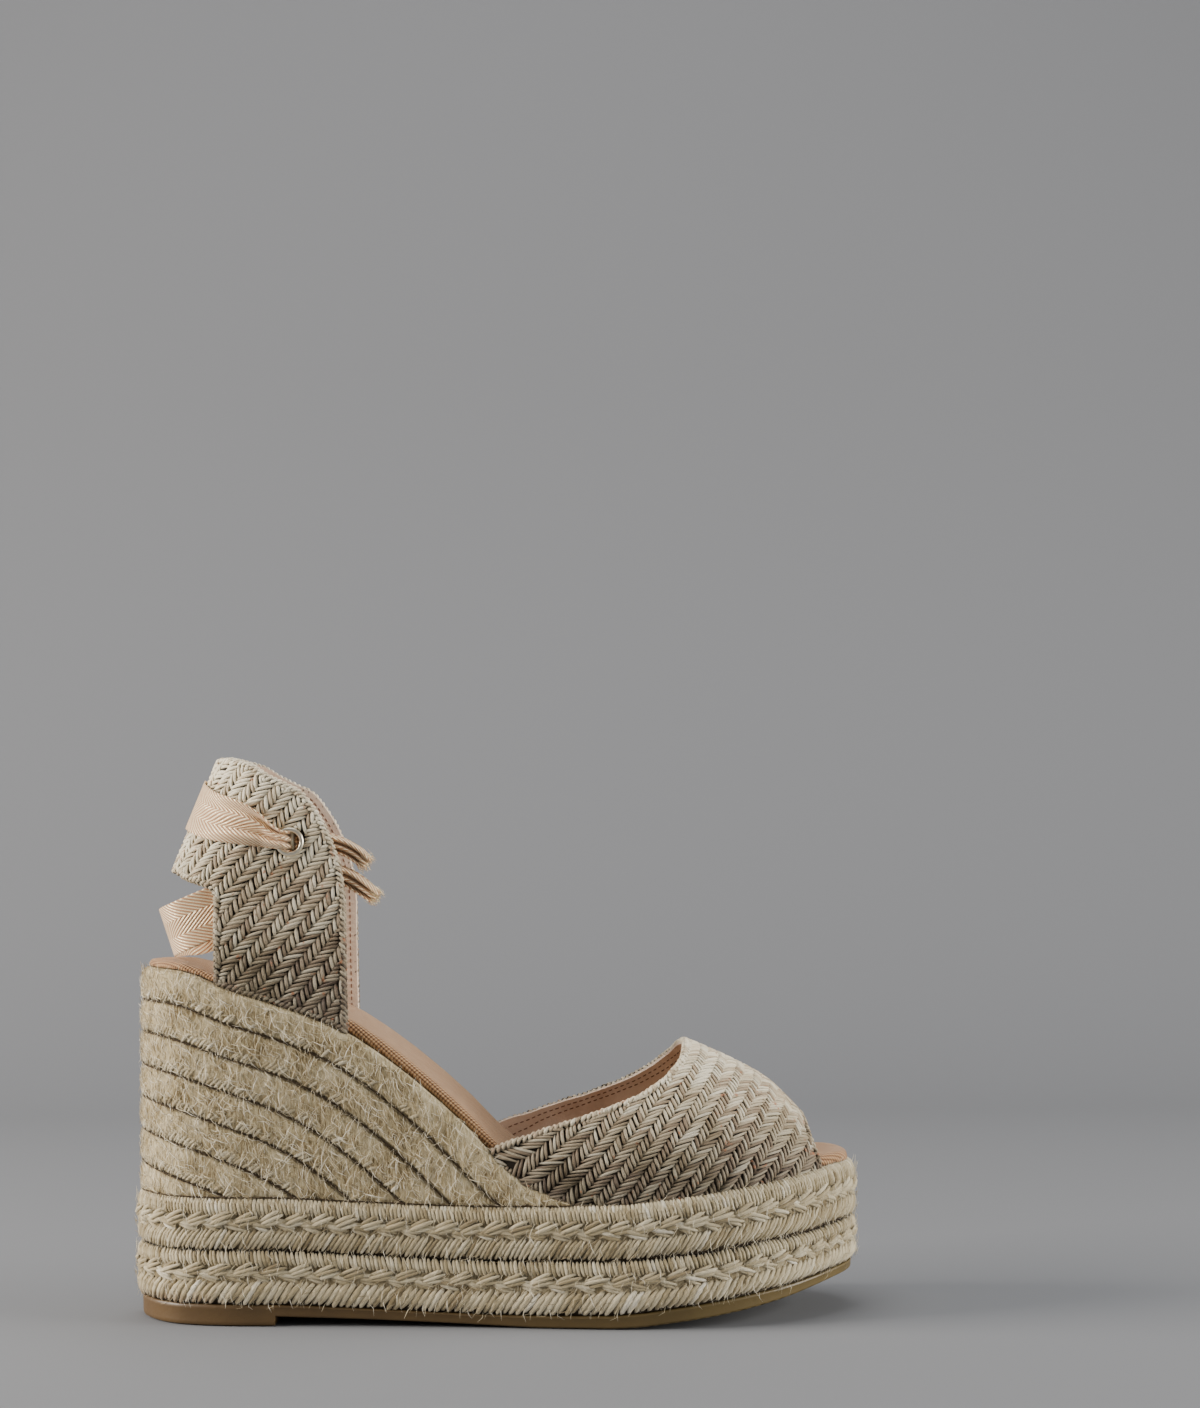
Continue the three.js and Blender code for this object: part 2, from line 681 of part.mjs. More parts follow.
// Way round from centre back to a place along the sandal
function wayAt(x, z, sign) {
  const centre = strapBackAt(z) + strapDepth;
  const arc = arcLength(sideOf(sign));
  if (x >= centre) return arc + x - centre;
  return (arc * Math.acos(Math.min((centre - x) / strapDepth, 1))) / (Math.PI / 2);
}

const quarterNormal = (way, z) => normalOf(quarterPoint, way, z, 0.4, 0.4).negate();

const seatStep = 0.05;

// Rear edge at a height: the seat's slope low down, then the panel's own edge, then the back strap's
function rearWay(z, sign) {
  const up = (z - quarterBaseZ) / quarterRise;
  if (up >= quarterRearRows[quarterRearRows.length - 1].up) return 0;
  const edge = quarterFrontX - quarterLength * flow(quarterRearRows, "back", up, "up");
  let x = quarterFrontX;
  while (x > edge && seatZ(x) + gap < z) x -= seatStep;
  return wayAt(x, z, sign);
}

const quarterLevels = [
  0.004, 0.05, 0.1, 0.15, 0.21, 0.28, 0.35, 0.42, 0.49, 0.515, 0.53, 0.552, 0.572, 0.63, 0.69,
  0.75, 0.81, 0.86, 0.9, 0.94, 0.975, 1,
];

function quarterHalf({ sign }) {
  const lean = Math.tan(quarterStripAngle * toRadians);
  const pitch = quarterStrip / stripProfile.length;
  const firstWay = -quarterRise / lean;
  const columns = Math.ceil((wayAt(quarterFrontX, quarterBaseZ, sign) - firstWay) / pitch);
  const eyelet = wayAt(eyeletX, eyeletZ, sign);
  const outer = [];
  const inner = [];
  const rears = [];
  for (const up of quarterLevels) {
    const z = quarterBaseZ + quarterRise * up;
    const frontX = quarterFrontX - quarterLength * flow(quarterEdgeRows, "back", up, "up");
    const front = wayAt(frontX, z, sign);
    const rear = rearWay(z, sign);
    const outerRow = [];
    const innerRow = [];
    for (let i = 0; i <= columns; i += 1) {
      const way = firstWay + i * pitch + (quarterRise * up) / lean;
      const held = Math.min(Math.max(way, rear), front);
      const nearEyelet = Math.hypot(held - eyelet, z - eyeletZ) < eyeletFlange + pitch;
      const free = held === way && up > quarterLevels[0] && up < 1 && !nearEyelet;
      const relief = free ? stripRelief * stripProfile[i % stripProfile.length] : 0;
      const form = quarterPoint(sign * held, z);
      const normal = quarterNormal(sign * held, z);
      outerRow.push(form.clone().addScaledVector(normal, relief));
      innerRow.push(form.clone().addScaledVector(normal, -upperWall));
    }
    outer.push(outerRow);
    inner.push(innerRow);
    rears.push(rear);
  }
  const triangles = shellTriangles(outer, inner, (j) => rears[j] > 0);
  return sign < 0 ? triangles : turnedOver(triangles);
}

// Place and direction of an eyelet: its axis stands square to the panel
function eyeletPlace(sign) {
  const way = sign * wayAt(eyeletX, eyeletZ, sign);
  return { centre: quarterPoint(way, eyeletZ), axis: quarterNormal(way, eyeletZ) };
}

function stoodAt(geometry, { centre, axis }) {
  const lathed = new THREE.Vector3(0, 1, 0);
  geometry.applyQuaternion(new THREE.Quaternion().setFromUnitVectors(lathed, axis));
  geometry.translate(centre.x, centre.y, centre.z);
  return geometry;
}

function quarterGeometry() {
  let solid = solidOf(bodyOf(quarterSides.flatMap(quarterHalf)));
  const holeRadius = eyeletBore + eyeletBarrelWall + gap;
  for (const { sign } of quarterSides) {
    const hole = new THREE.CylinderGeometry(holeRadius, holeRadius, 6 * upperWall, 20);
    solid = solid.subtract(solidOf(stoodAt(hole, eyeletPlace(sign))));
  }
  return geometryOf(solid);
}

// Metal eyelet: a barrel through the wall with a rounded flange outside and a flat one inside
function eyeletGeometry(sign) {
  const barrel = eyeletBore + eyeletBarrelWall;
  const outside = gap;
  const inside = -upperWall - gap;
  const radiusAt = (share) => eyeletBore + (eyeletFlange - eyeletBore) * share;
  const profile = [
    { radius: radiusAt(0), height: outside + eyeletRim * 0.5 },
    { radius: radiusAt(0.33), height: outside + eyeletRim },
    { radius: radiusAt(0.67), height: outside + eyeletRim },
    { radius: radiusAt(1), height: outside + eyeletRim * 0.3 },
    { radius: radiusAt(1), height: outside },
    { radius: barrel, height: outside },
    { radius: barrel, height: inside },
    { radius: radiusAt(0.85), height: inside },
    { radius: radiusAt(0.75), height: inside - eyeletRim * 0.5 },
    { radius: radiusAt(0), height: inside - eyeletRim * 0.5 },
    { radius: radiusAt(0), height: outside + eyeletRim * 0.5 },
  ].map(({ radius, height }) => new THREE.Vector2(radius, height));
  return stoodAt(new THREE.LatheGeometry(profile.reverse(), 14), eyeletPlace(sign));
}

// Flat ribbon from rows of centre, edge direction, width and facing
function ribbonBody(rows) {
  const corners = rows.map(({ centre, across, facing, width }) => {
    const side = across.clone().multiplyScalar(width / 2);
    const out = facing.clone().multiplyScalar(ribbonThickness / 2);
    return [
      centre.clone().sub(side).sub(out),
      centre.clone().add(side).sub(out),
      centre.clone().add(side).add(out),
      centre.clone().sub(side).add(out),
    ];
  });
  const triangles = [];
  for (let i = 0; i + 1 < corners.length; i += 1) {
    for (let k = 0; k < 4; k += 1) {
      const next = (k + 1) % 4;
      triangles.push(...quad(corners[i][k], corners[i + 1][k], corners[i + 1][next], corners[i][next]));
    }
  }
  const [first, last] = [corners[0], corners[corners.length - 1]];
  triangles.push(...quad(first[0], first[1], first[2], first[3]));
  triangles.push(...quad(last[0], last[3], last[2], last[1]));
  const body = bodyOf(triangles);
  return solidOf(body).volume() < 0 ? bodyOf(turnedOver(triangles)) : body;
}

// Ribbon that lies round the outside of the back strap between the eyelets
function bandGeometry() {
  const halves = quarterSides.map(({ sign }) => {
    const endWay = wayAt(eyeletX, eyeletZ, sign);
    return Array.from({ length: bandSteps + 1 }, (_, i) => {
      const along = (i / bandSteps) ** 1.3;
      const at = (column) => flow(bandRows, column, along, "along");
      const z = eyeletZ + bandRise * at("up");
      const way = sign * endWay * (1 - along);
      const facing = quarterNormal(way, z);
      const lift = stripRelief + bandClearance * at("out");
      const centre = quarterPoint(way, z).addScaledVector(facing, lift);
      const onward = quarterPoint(way + 0.5, z).sub(quarterPoint(way - 0.5, z)).normalize();
      return { centre, facing, across: facing.clone().cross(onward), width: ribbonWidth * at("width") };
    });
  });
  return ribbonBody([...halves[0], ...halves[1].slice(0, -1).reverse()]);
}

// Free ribbon tail through its rows, its face turned to the side and tipped by its tilt
function tailGeometry(rows) {
  const curve = new THREE.CatmullRomCurve3(
    rows.map(({ along, y, up }) => new THREE.Vector3(along - halfLength, y, heelSeatZ + up)),
  );
  const pieces = (rows.length - 1) * 2;
  const placed = Array.from({ length: pieces + 1 }, (_, i) => {
    const t = i / pieces;
    const low = Math.min(Math.floor(i / 2), rows.length - 2);
    const share = i / 2 - low;
    const mix = (column) => rows[low][column] * (1 - share) + rows[low + 1][column] * share;
    const onward = curve.getTangent(t);
    const tipped = new THREE.Vector3(mix("tilt"), 0, 1).normalize();
    const facing = onward.clone().cross(tipped).normalize();
    const across = facing.clone().cross(onward).normalize();
    return { centre: curve.getPoint(t), across, facing, width: mix("width") };
  });
  return ribbonBody(placed);
}

const finishes = {
  rubber: { color: "#9d8049", roughness: 0.55, metalness: 0 },
  jute: { color: "#c9bc98", roughness: 0.9, metalness: 0 },
  canvas: { color: "#b98660", roughness: 0.85, metalness: 0 },
  raffia: { color: "#b3a48e", roughness: 0.75, metalness: 0 },
  metal: { color: "#d8d2c4", roughness: 0.25, metalness: 1 },
  ribbon: { color: "#d3a88b", roughness: 0.6, metalness: 0 },
};

const sandal = new THREE.Group();

function add(name, geometry, finish) {
  const mesh = new THREE.Mesh(geometry, new THREE.MeshStandardMaterial(finishes[finish]));
  mesh.name = name;
  sandal.add(mesh);
}

add("outsole", outsoleGeometry(), "rubber");
add("platform_lower", braidGeometry(rubberTopZ, lowerTopZ), "jute");
add("platform_upper", braidGeometry(lowerTopZ, platformZ), "jute");
add("wedge", wedgeGeometry(), "jute");
add("insole", insoleGeometry(), "canvas");
add("vamp", vampGeometry(), "raffia");
add("heel_quarter", quarterGeometry(), "raffia");
add("eyelet_lateral", eyeletGeometry(-1), "metal");
add("eyelet_medial", eyeletGeometry(1), "metal");
add("ribbon_band", bandGeometry(), "ribbon");
add("ribbon_tail_long", tailGeometry(longTailRows), "ribbon");
add("ribbon_tail_short", tailGeometry(shortTailRows), "ribbon");

// The outline's two sides reach unequally, so the group is moved until they are equal about y = 0
const reachOf = (side) =>
  Math.max(...ring(1, (turn) => edgePoint(turn, side)).map((p) => Math.abs(p.y)));
sandal.position.y = (reachOf("lateral") - reachOf("medial")) / 2;

export default sandal;
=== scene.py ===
# Looks of an espadrille wedge sandal, right shoe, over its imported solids. Tables are in mm, objects in metres.
import bmesh
import bpy
import json
import math
import random
from bisect import bisect_left
import numpy as np
from mathutils import Matrix, Vector, noise

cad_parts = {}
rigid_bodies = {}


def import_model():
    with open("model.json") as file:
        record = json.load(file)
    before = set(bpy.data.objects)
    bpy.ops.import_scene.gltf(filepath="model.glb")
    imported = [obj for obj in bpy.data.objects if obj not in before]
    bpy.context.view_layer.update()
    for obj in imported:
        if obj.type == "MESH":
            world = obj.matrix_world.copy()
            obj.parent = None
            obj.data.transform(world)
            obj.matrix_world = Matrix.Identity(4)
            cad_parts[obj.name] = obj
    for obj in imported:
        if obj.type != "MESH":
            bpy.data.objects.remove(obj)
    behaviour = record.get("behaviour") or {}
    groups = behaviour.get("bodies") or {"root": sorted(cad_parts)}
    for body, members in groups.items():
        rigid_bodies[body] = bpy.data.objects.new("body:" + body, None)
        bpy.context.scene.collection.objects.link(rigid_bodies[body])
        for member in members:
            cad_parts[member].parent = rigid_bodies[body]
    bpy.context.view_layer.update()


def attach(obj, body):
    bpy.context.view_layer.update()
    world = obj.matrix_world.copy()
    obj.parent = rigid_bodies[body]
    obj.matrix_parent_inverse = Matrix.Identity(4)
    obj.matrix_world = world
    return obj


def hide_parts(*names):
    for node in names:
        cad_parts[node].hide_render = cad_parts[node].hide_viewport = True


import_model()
print("frame loaded")

# Camera, set from the floor line, the sole's two ends and the eyelet's ellipse
cameraView = {"place": (0.01867, -0.88171, 0.1549), "turn": 1.0, "tilt": 2.637, "roll": -0.4, "lens": 69.03, "sensor": 36}


def makeCamera(view):
    turn, tilt, roll = (math.radians(view[key]) for key in ("turn", "tilt", "roll"))
    ahead = Vector((math.sin(turn) * math.cos(tilt), math.cos(turn) * math.cos(tilt), math.sin(tilt)))
    level = Vector((math.cos(turn), -math.sin(turn), 0))
    upright = level.cross(ahead)
    right = level * math.cos(roll) + upright * math.sin(roll)
    up = upright * math.cos(roll) - level * math.sin(roll)
    data = bpy.data.cameras.new("camera")
    data.lens = view["lens"]
    data.sensor_width = view["sensor"]
    camera = bpy.data.objects.new("camera", data)
    camera.matrix_world = Matrix.Translation(view["place"]) @ Matrix((right, up, -ahead)).transposed().to_4x4()
    bpy.context.collection.objects.link(camera)
    bpy.context.scene.camera = camera


makeCamera(cameraView)

# Sizes of the sole, as in the solids
sole = {"length": 233, "ball": 83, "spring": 12.2, "rubber": 6.9, "braid": 16.4, "wedge": 71.6, "wedgeEnd": 139.5,
        "heelBlock": 47, "waistGap": 2.8, "waistEnd": 128, "rope": 10.25, "gap": 0.3, "insole": 4.8}
outline = {
    "at": (0, 0.013, 0.034, 0.077, 0.15, 0.236, 0.343, 0.45, 0.536, 0.622, 0.687, 0.751, 0.815, 0.88, 0.931, 0.974, 1),
    "lateral": (0, 0.131, 0.22, 0.307, 0.355, 0.367, 0.386, 0.416, 0.452, 0.488, 0.506, 0.5, 0.464, 0.386, 0.277, 0.133, -0.06),
    "medial": (0, 0.125, 0.211, 0.295, 0.343, 0.349, 0.337, 0.349, 0.38, 0.422, 0.458, 0.482, 0.488, 0.47, 0.416, 0.313, 0.06),
}
stack = {
    "at": (0, 0.19, 0.32, 0.44, 0.54, 0.665, 0.706, 0.755, 0.798, 0.845, 0.893, 0.931, 0.957, 1),
    "spring": (0, 0, 0, 0, 0, 0, 0.066, 0.18, 0.285, 0.435, 0.615, 0.78, 0.88, 1),
    "rubber": (1, 1, 0.85, 0.67, 0.6, 0.64, 0.68, 0.69, 0.68, 0.65, 0.57, 0.5, 0.48, 0.46),
    "lower": (1, 1, 0.98, 0.98, 1, 0.99, 0.97, 0.94, 0.93, 0.92, 0.88, 0.85, 0.84, 0.83),
    "upper": (1, 0.985, 0.99, 1, 1.01, 1.03, 1.04, 1.06, 1.07, 1.07, 1.1, 1.11, 1.1, 1.04),
}
wedgeTop = {
    "at": (0, 0.06, 0.1, 0.127, 0.2, 0.29, 0.333, 0.386, 0.445, 0.484, 0.514, 0.533, 0.563, 0.6, 0.625),
    "rise": (1, 0.995, 0.965, 0.925, 0.85, 0.752, 0.672, 0.552, 0.394, 0.268, 0.162, 0.11, 0.066, 0.022, 0),
}
insoleForm = {
    "at": (0, 0.11, 0.25, 0.36, 0.55, 0.7, 0.95, 1),
    "height": (0.5, 0.55, 0.9, 1, 1, 0.9, 0.85, 0.82),
    "setback": (0.72, 1, 1, 1, 1, 1, 1, 0.5),
}
halfLength = sole["length"] / 2


# Value of a table's column on a smooth curve that never swings past its rows
def flow(table, column, value, key="at"):
    keys, values = table[key], table[column]
    last = len(keys) - 1
    value = min(max(value, keys[0]), keys[last])
    i = min(max(bisect_left(keys, value) - 1, 0), last - 1)

    def secant(n):
        return (values[n + 1] - values[n]) / (keys[n + 1] - keys[n])

    def slope(n):
        if n in (0, last):
            return secant(0 if n == 0 else last - 1)
        before, after = secant(n - 1), secant(n)
        return 2 * before * after / (before + after) if before * after > 0 else 0

    span = keys[i + 1] - keys[i]
    t = (value - keys[i]) / span
    rise = t * t * (3 - 2 * t)
    swing = span * (slope(i) * t * (1 - t) ** 2 - slope(i + 1) * t * t * (1 - t))
    return values[i] * (1 - rise) + values[i + 1] * rise + swing


# A place along the sole is the turn of a half circle whose foot it is
def turnAt(share):
    return math.acos(1 - 2 * min(max(share, 0), 1))


outline["turn"] = tuple(turnAt(at) for at in outline["at"])
stationX = [sole["length"] * (1 - math.cos(math.pi * i / 40)) / 2 - halfLength for i in range(41)]


def edgePoint(turn, side):
    past = turn < 0 or turn > math.pi
    inside = abs(turn if turn < 0 else 2 * math.pi - turn) if past else turn
    lateral = (side == "lateral") != past
    reach = sole["ball"] * flow(outline, "lateral" if lateral else "medial", inside, "turn")
    return sole["length"] * (1 - math.cos(inside)) / 2 - halfLength, -reach if lateral else reach


# Point set in from the outline: straight across along the sides, square to it at the ends
def insetPoint(turn, side, inset):
    x, y = edgePoint(turn, side)
    before, after = edgePoint(turn - 0.05, side), edgePoint(turn + 0.05, side)
    alongX, alongY = after[0] - before[0], after[1] - before[1]
    length = math.hypot(alongX, alongY)
    alongX, alongY = alongX / length, alongY / length
    inward = inset if side == "lateral" else -inset
    square = (x - alongY * inward, y + alongX * inward)
    across = (x, y + inward / max(abs(alongX), 0.5))
    t = min(max((abs(alongY) - 0.6) / 0.25, 0), 1)
    t = t * t * (3 - 2 * t)
    return across[0] * (1 - t) + square[0] * t, across[1] * (1 - t) + square[1] * t


# Heights over the floor along the sole, straight from station to station as in the solids
def heights(column, scale, under=None):
    table = wedgeTop if column == "rise" else stack
    values = [scale * flow(table, column, (x + halfLength) / sole["length"]) for x in stationX]
    if under is not None:
        values = [value + under(x) for value, x in zip(values, stationX)]
    return lambda x: np.interp(x, stationX, values)


soleZ = heights("spring", sole["spring"])
rubberTopZ = heights("rubber", sole["rubber"], soleZ)
lowerTopZ = heights("lower", sole["braid"], rubberTopZ)
platformZ = heights("upper", sole["braid"], lowerTopZ)
seatZ = heights("rise", sole["wedge"], platformZ)
shiftY = (max(-edgePoint(math.pi * i / 40, "lateral")[1] for i in range(41))
          - max(edgePoint(math.pi * i / 40, "medial")[1] for i in range(41))) / 2


def inMetres(points):
    return (np.asarray(points, dtype=float) + (0, shiftY, 0)) * 0.001


# Way round the sole's rim: w is minus the turn on the medial side and the turn on the lateral side
def rimPath(inset, start, end, count=900):
    ws = np.linspace(start, end, count)
    xy = np.array([insetPoint(abs(w), "lateral" if w >= 0 else "medial", inset) for w in ws])
    step = np.gradient(xy, axis=0)
    step /= np.linalg.norm(step, axis=1)[:, None]
    out = np.stack((step[:, 1], -step[:, 0]), axis=1)
    length = np.concatenate(([0], np.cumsum(np.linalg.norm(np.diff(xy, axis=0), axis=1))))
    return {"xy": xy, "step": step, "out": out, "length": length}


def alongPath(path, key, at):
    return np.stack([np.interp(at, path["length"], path[key][:, axis]) for axis in (0, 1)], axis=1)


# Objects from points and faces
def newObject(name, mesh):
    piece = bpy.data.objects.new(name, mesh)
    bpy.context.collection.objects.link(piece)
    return piece


def meshPiece(name, points, faces, uvs=None, finishes=(), finishOf=None, smooth=True):
    mesh = bpy.data.meshes.new(name)
    mesh.from_pydata([tuple(p) for p in points], [], [tuple(f) for f in faces])
    for finish in finishes:
        mesh.materials.append(finish)
    if finishOf is not None:
        mesh.polygons.foreach_set("material_index", finishOf)
    if uvs is not None:
        layer = mesh.uv_layers.new(name="surface")
        corners = np.empty(len(mesh.loops), dtype=int)
        mesh.loops.foreach_get("vertex_index", corners)
        layer.data.foreach_set("uv", np.asarray(uvs)[corners].ravel())
    if smooth:
        mesh.polygons.foreach_set("use_smooth", [True] * len(mesh.polygons))
    mesh.update()
    return newObject(name, mesh)


def giveAttribute(mesh, name, kind, values):
    attribute = mesh.attributes.new(name, kind, "POINT")
    attribute.data.foreach_set("vector" if kind == "FLOAT_VECTOR" else "value", np.asarray(values, dtype=float).ravel())


# Faces of a grid of rows and columns that starts at a point number
def gridFaces(rows, columns, first=0, closed=False, flipped=False):
    faces = []
    for j in range(rows - 1):
        for i in range(columns if closed else columns - 1):
            a, b = first + j * columns + i, first + j * columns + (i + 1) % columns
            face = (a, b, b + columns, a + columns)
            faces.append(face[::-1] if flipped else face)
    return faces


# Materials
def colourOf(hexColour):
    channels = [int(hexColour[i:i + 2], 16) / 255 for i in (1, 3, 5)]
    return tuple(c / 12.92 if c < 0.04045 else ((c + 0.055) / 1.055) ** 2.4 for c in channels) + (1,)


def addNode(tree, kind, inputs=None, **settings):
    node = tree.nodes.new(kind)
    for name, value in settings.items():
        setattr(node, name, value)
    for name, value in (inputs or {}).items():
        if isinstance(value, bpy.types.NodeSocket):
            tree.links.new(value, node.inputs[name])
        else:
            node.inputs[name].default_value = value
    return node


def ramp(tree, factor, stops):
    node = addNode(tree, "ShaderNodeValToRGB", {"Fac": factor})
    elements = node.color_ramp.elements
    while len(elements) < len(stops):
        elements.new(0.5)
    for element, (position, colour) in zip(elements, stops):
        element.position = position
        element.color = colourOf(colour) if isinstance(colour, str) else (colour, colour, colour, 1)
    return node.outputs["Color"]


def blendColours(tree, kind, factor, first, second):
    return addNode(tree, "ShaderNodeMix", {0: factor, 6: first, 7: second}, data_type="RGBA", blend_type=kind).outputs[2]


def newMaterial(name, **constants):
    material = bpy.data.materials.new(name)
    material.use_nodes = True
    tree = material.node_tree
    shader = tree.nodes["Principled BSDF"]
    for socket, value in constants.items():
        shader.inputs[socket.replace("_", " ")].default_value = value
    return material, tree, shader


def mapped(tree, source, scale, turn=0):
    return addNode(tree, "ShaderNodeMapping", {"Vector": source, "Scale": scale, "Rotation": (0, 0, turn)}).outputs[0]


def cloud(tree, vector, scale, detail=3, roughness=0.5):
    return addNode(tree, "ShaderNodeTexNoise", {"Vector": vector, "Scale": scale, "Detail": detail, "Roughness": roughness}).outputs[0]


def maths(tree, operation, first, second=0.5):
    return addNode(tree, "ShaderNodeMath", {0: first, 1: second}, operation=operation).outputs[0]


def giveBump(tree, shader, height, distance, strength=1):
    bump = addNode(tree, "ShaderNodeBump", {"Height": height, "Distance": distance, "Strength": strength})
    tree.links.new(bump.outputs[0], shader.inputs["Normal"])


rubberLook = {"heel": "#5a4426", "toe": "#64542f", "tread": 3.2}
# Two colours here stand for shade: the dark of the packing deep in the grooves, and that of the painted shadow cords in
# the wedge's grooves
juteLook = {"dark": "#7a6846", "mid": "#b8a883", "light": "#ddd1b2", "bleached": "#f5eedb", "groove": "#33281a", "grooveShadowCord": "#463724", "glue": "#8a5c34"}
raffiaLook = {"dark": "#6a5340", "mid": "#ab9578", "light": "#dfcfb0", "pale": "#f6ecd2", "rust": "#b06a3c", "olive": "#8f8355",
              "under": "#2b2116"}
canvasLook = {"pit": "#55351d", "thread": "#9f754d", "worn": "#c09c74", "top": "#ac8862", "pitch": 1.15}
liningLook = {"skin": "#e8d4c0", "fold": "#cbae96", "stitch": "#7c5038"}
ribbonLook = {"ground": "#e2bb94", "shade": "#b58158", "lurex": "#fff2c8", "line": 0.98, "zone": 5.3}
eyeletLook = {"plate": "#f1e8d2"}


# Gum rubber, pressed in a mould: satin, slightly cloudy, ribs across its underside
def gumRubber():
    material, tree, shader = newMaterial("gumRubber", Roughness=0.46, IOR=1.52)
    place = addNode(tree, "ShaderNodeTexCoord").outputs["Object"]
    parts = addNode(tree, "ShaderNodeSeparateXYZ", {0: place})
    along = addNode(tree, "ShaderNodeMapRange", {0: parts.outputs[0], 1: -0.116, 2: 0.116}).outputs[0]
    base = ramp(tree, along, ((0, rubberLook["heel"]), (0.45, "#604c2c"), (0.8, rubberLook["toe"])))
    cloudy = cloud(tree, place, 90, 4)
    colour = blendColours(tree, "OVERLAY", 0.35, base, ramp(tree, cloudy, ((0.3, 0.36), (0.7, 0.6))))
    tree.links.new(colour, shader.inputs["Base Color"])
    ribs = maths(tree, "SINE", maths(tree, "MULTIPLY", parts.outputs[0], 2000 * math.pi / rubberLook["tread"]))
    facing = addNode(tree, "ShaderNodeSeparateXYZ", {0: addNode(tree, "ShaderNodeNewGeometry").outputs["Normal"]}).outputs[2]
    under = maths(tree, "LESS_THAN", facing, -0.6)
    height = maths(tree, "ADD", maths(tree, "MULTIPLY", ribs, under), maths(tree, "MULTIPLY", cloud(tree, place, 900), 0.2))
    giveBump(tree, shader, height, 0.0005, 0.7)
    return material


# Twisted jute yarn: dry, matte, its fibres run along each strand and wind round it
def juteYarn(name, tone=0.0):
    material, tree, shader = newMaterial(name, Roughness=0.86, IOR=1.46, Sheen_Weight=0.25)
    place = addNode(tree, "ShaderNodeTexCoord").outputs["Object"]
    strandMap = addNode(tree, "ShaderNodeUVMap", uv_map="strand").outputs[0]
    shade = addNode(tree, "ShaderNodeAttribute", attribute_name="shade").outputs["Fac"]
    wound = mapped(tree, strandMap, (5, 26, 1), 0.12)
    fibres = cloud(tree, wound, 1, 4, 0.65)
    mix = maths(tree, "ADD", maths(tree, "MULTIPLY", shade, 0.5), maths(tree, "MULTIPLY", fibres, 0.62))
    mix = maths(tree, "ADD", mix, maths(tree, "MULTIPLY", cloud(tree, place, 70, 2), 0.3 + tone))
    colour = ramp(tree, mix, ((0.36, juteLook["dark"]), (0.62, juteLook["mid"]), (0.9, juteLook["light"]), (1, juteLook["bleached"])))
    # Painted shade: each strand is darker towards its ends, where it dives under its neighbours, and along its sides
    # and underside
    sides = addNode(tree, "ShaderNodeSeparateXYZ", {0: strandMap}).outputs
    deep = ramp(tree, maths(tree, "PINGPONG", sides[0], 0.5), ((0, 0.3), (0.14, 1)))
    paintedSideShade = ramp(tree, maths(tree, "PINGPONG", sides[1], 0.5), ((0.14, 0.45), (0.34, 1)))
    colour = blendColours(tree, "MULTIPLY", 1, blendColours(tree, "MULTIPLY", 1, colour, deep), paintedSideShade)
    parts = addNode(tree, "ShaderNodeSeparateXYZ", {0: place})
    low = addNode(tree, "ShaderNodeMapRange", {0: parts.outputs[2], 1: 0.0105, 2: 0.0065}).outputs[0]
    rear = addNode(tree, "ShaderNodeMapRange", {0: parts.outputs[0], 1: -0.082, 2: -0.095}).outputs[0]
    smear = maths(tree, "MULTIPLY", maths(tree, "MULTIPLY", low, rear), cloud(tree, place, 160, 2))
    colour = blendColours(tree, "MIX", smear, colour, colourOf(juteLook["glue"]))
    tree.links.new(colour, shader.inputs["Base Color"])
    giveBump(tree, shader, fibres, 0.0006, 0.8)
    return material


# Jute between the strands: packed ends and shadow
def jutePacking():
    material, tree, shader = newMaterial("jutePacking", Roughness=0.95, IOR=1.46)
    place = addNode(tree, "ShaderNodeTexCoord").outputs["Object"]
    surface = addNode(tree, "ShaderNodeUVMap", uv_map="surface").outputs[0]
    depth = addNode(tree, "ShaderNodeAttribute", attribute_name="depth").outputs["Fac"]
    hairs = cloud(tree, mapped(tree, surface, (1500, 330, 1), 0.5), 1, 5, 0.7)
    tone = maths(tree, "ADD", maths(tree, "MULTIPLY", hairs, 0.9), maths(tree, "MULTIPLY", cloud(tree, place, 110, 3), 0.5))
    colour = ramp(tree, tone, ((0.4, "#574828"), (0.56, juteLook["dark"]), (0.7, juteLook["mid"]), (0.95, juteLook["light"])))
    # Painted shadow: the packing is darkened where the depth mark is high, deep in the grooves
    colour = blendColours(tree, "MIX", depth, colour, colourOf(juteLook["groove"]))
    tree.links.new(colour, shader.inputs["Base Color"])
    giveBump(tree, shader, hairs, 0.0008, 0.9)
    return material


# Loose jute fibre: thin, pale, a little shiny along its length
def juteFibre():
    material, tree, shader = newMaterial("juteFibre", Roughness=0.7, IOR=1.5, Sheen_Weight=0.2)
    shade = addNode(tree, "ShaderNodeAttribute", attribute_name="shade").outputs["Fac"]
    colour = ramp(tree, shade, ((0, juteLook["dark"]), (0.25, juteLook["mid"]), (0.52, juteLook["light"]), (1, juteLook["bleached"])))
    tree.links.new(colour, shader.inputs["Base Color"])
    return material
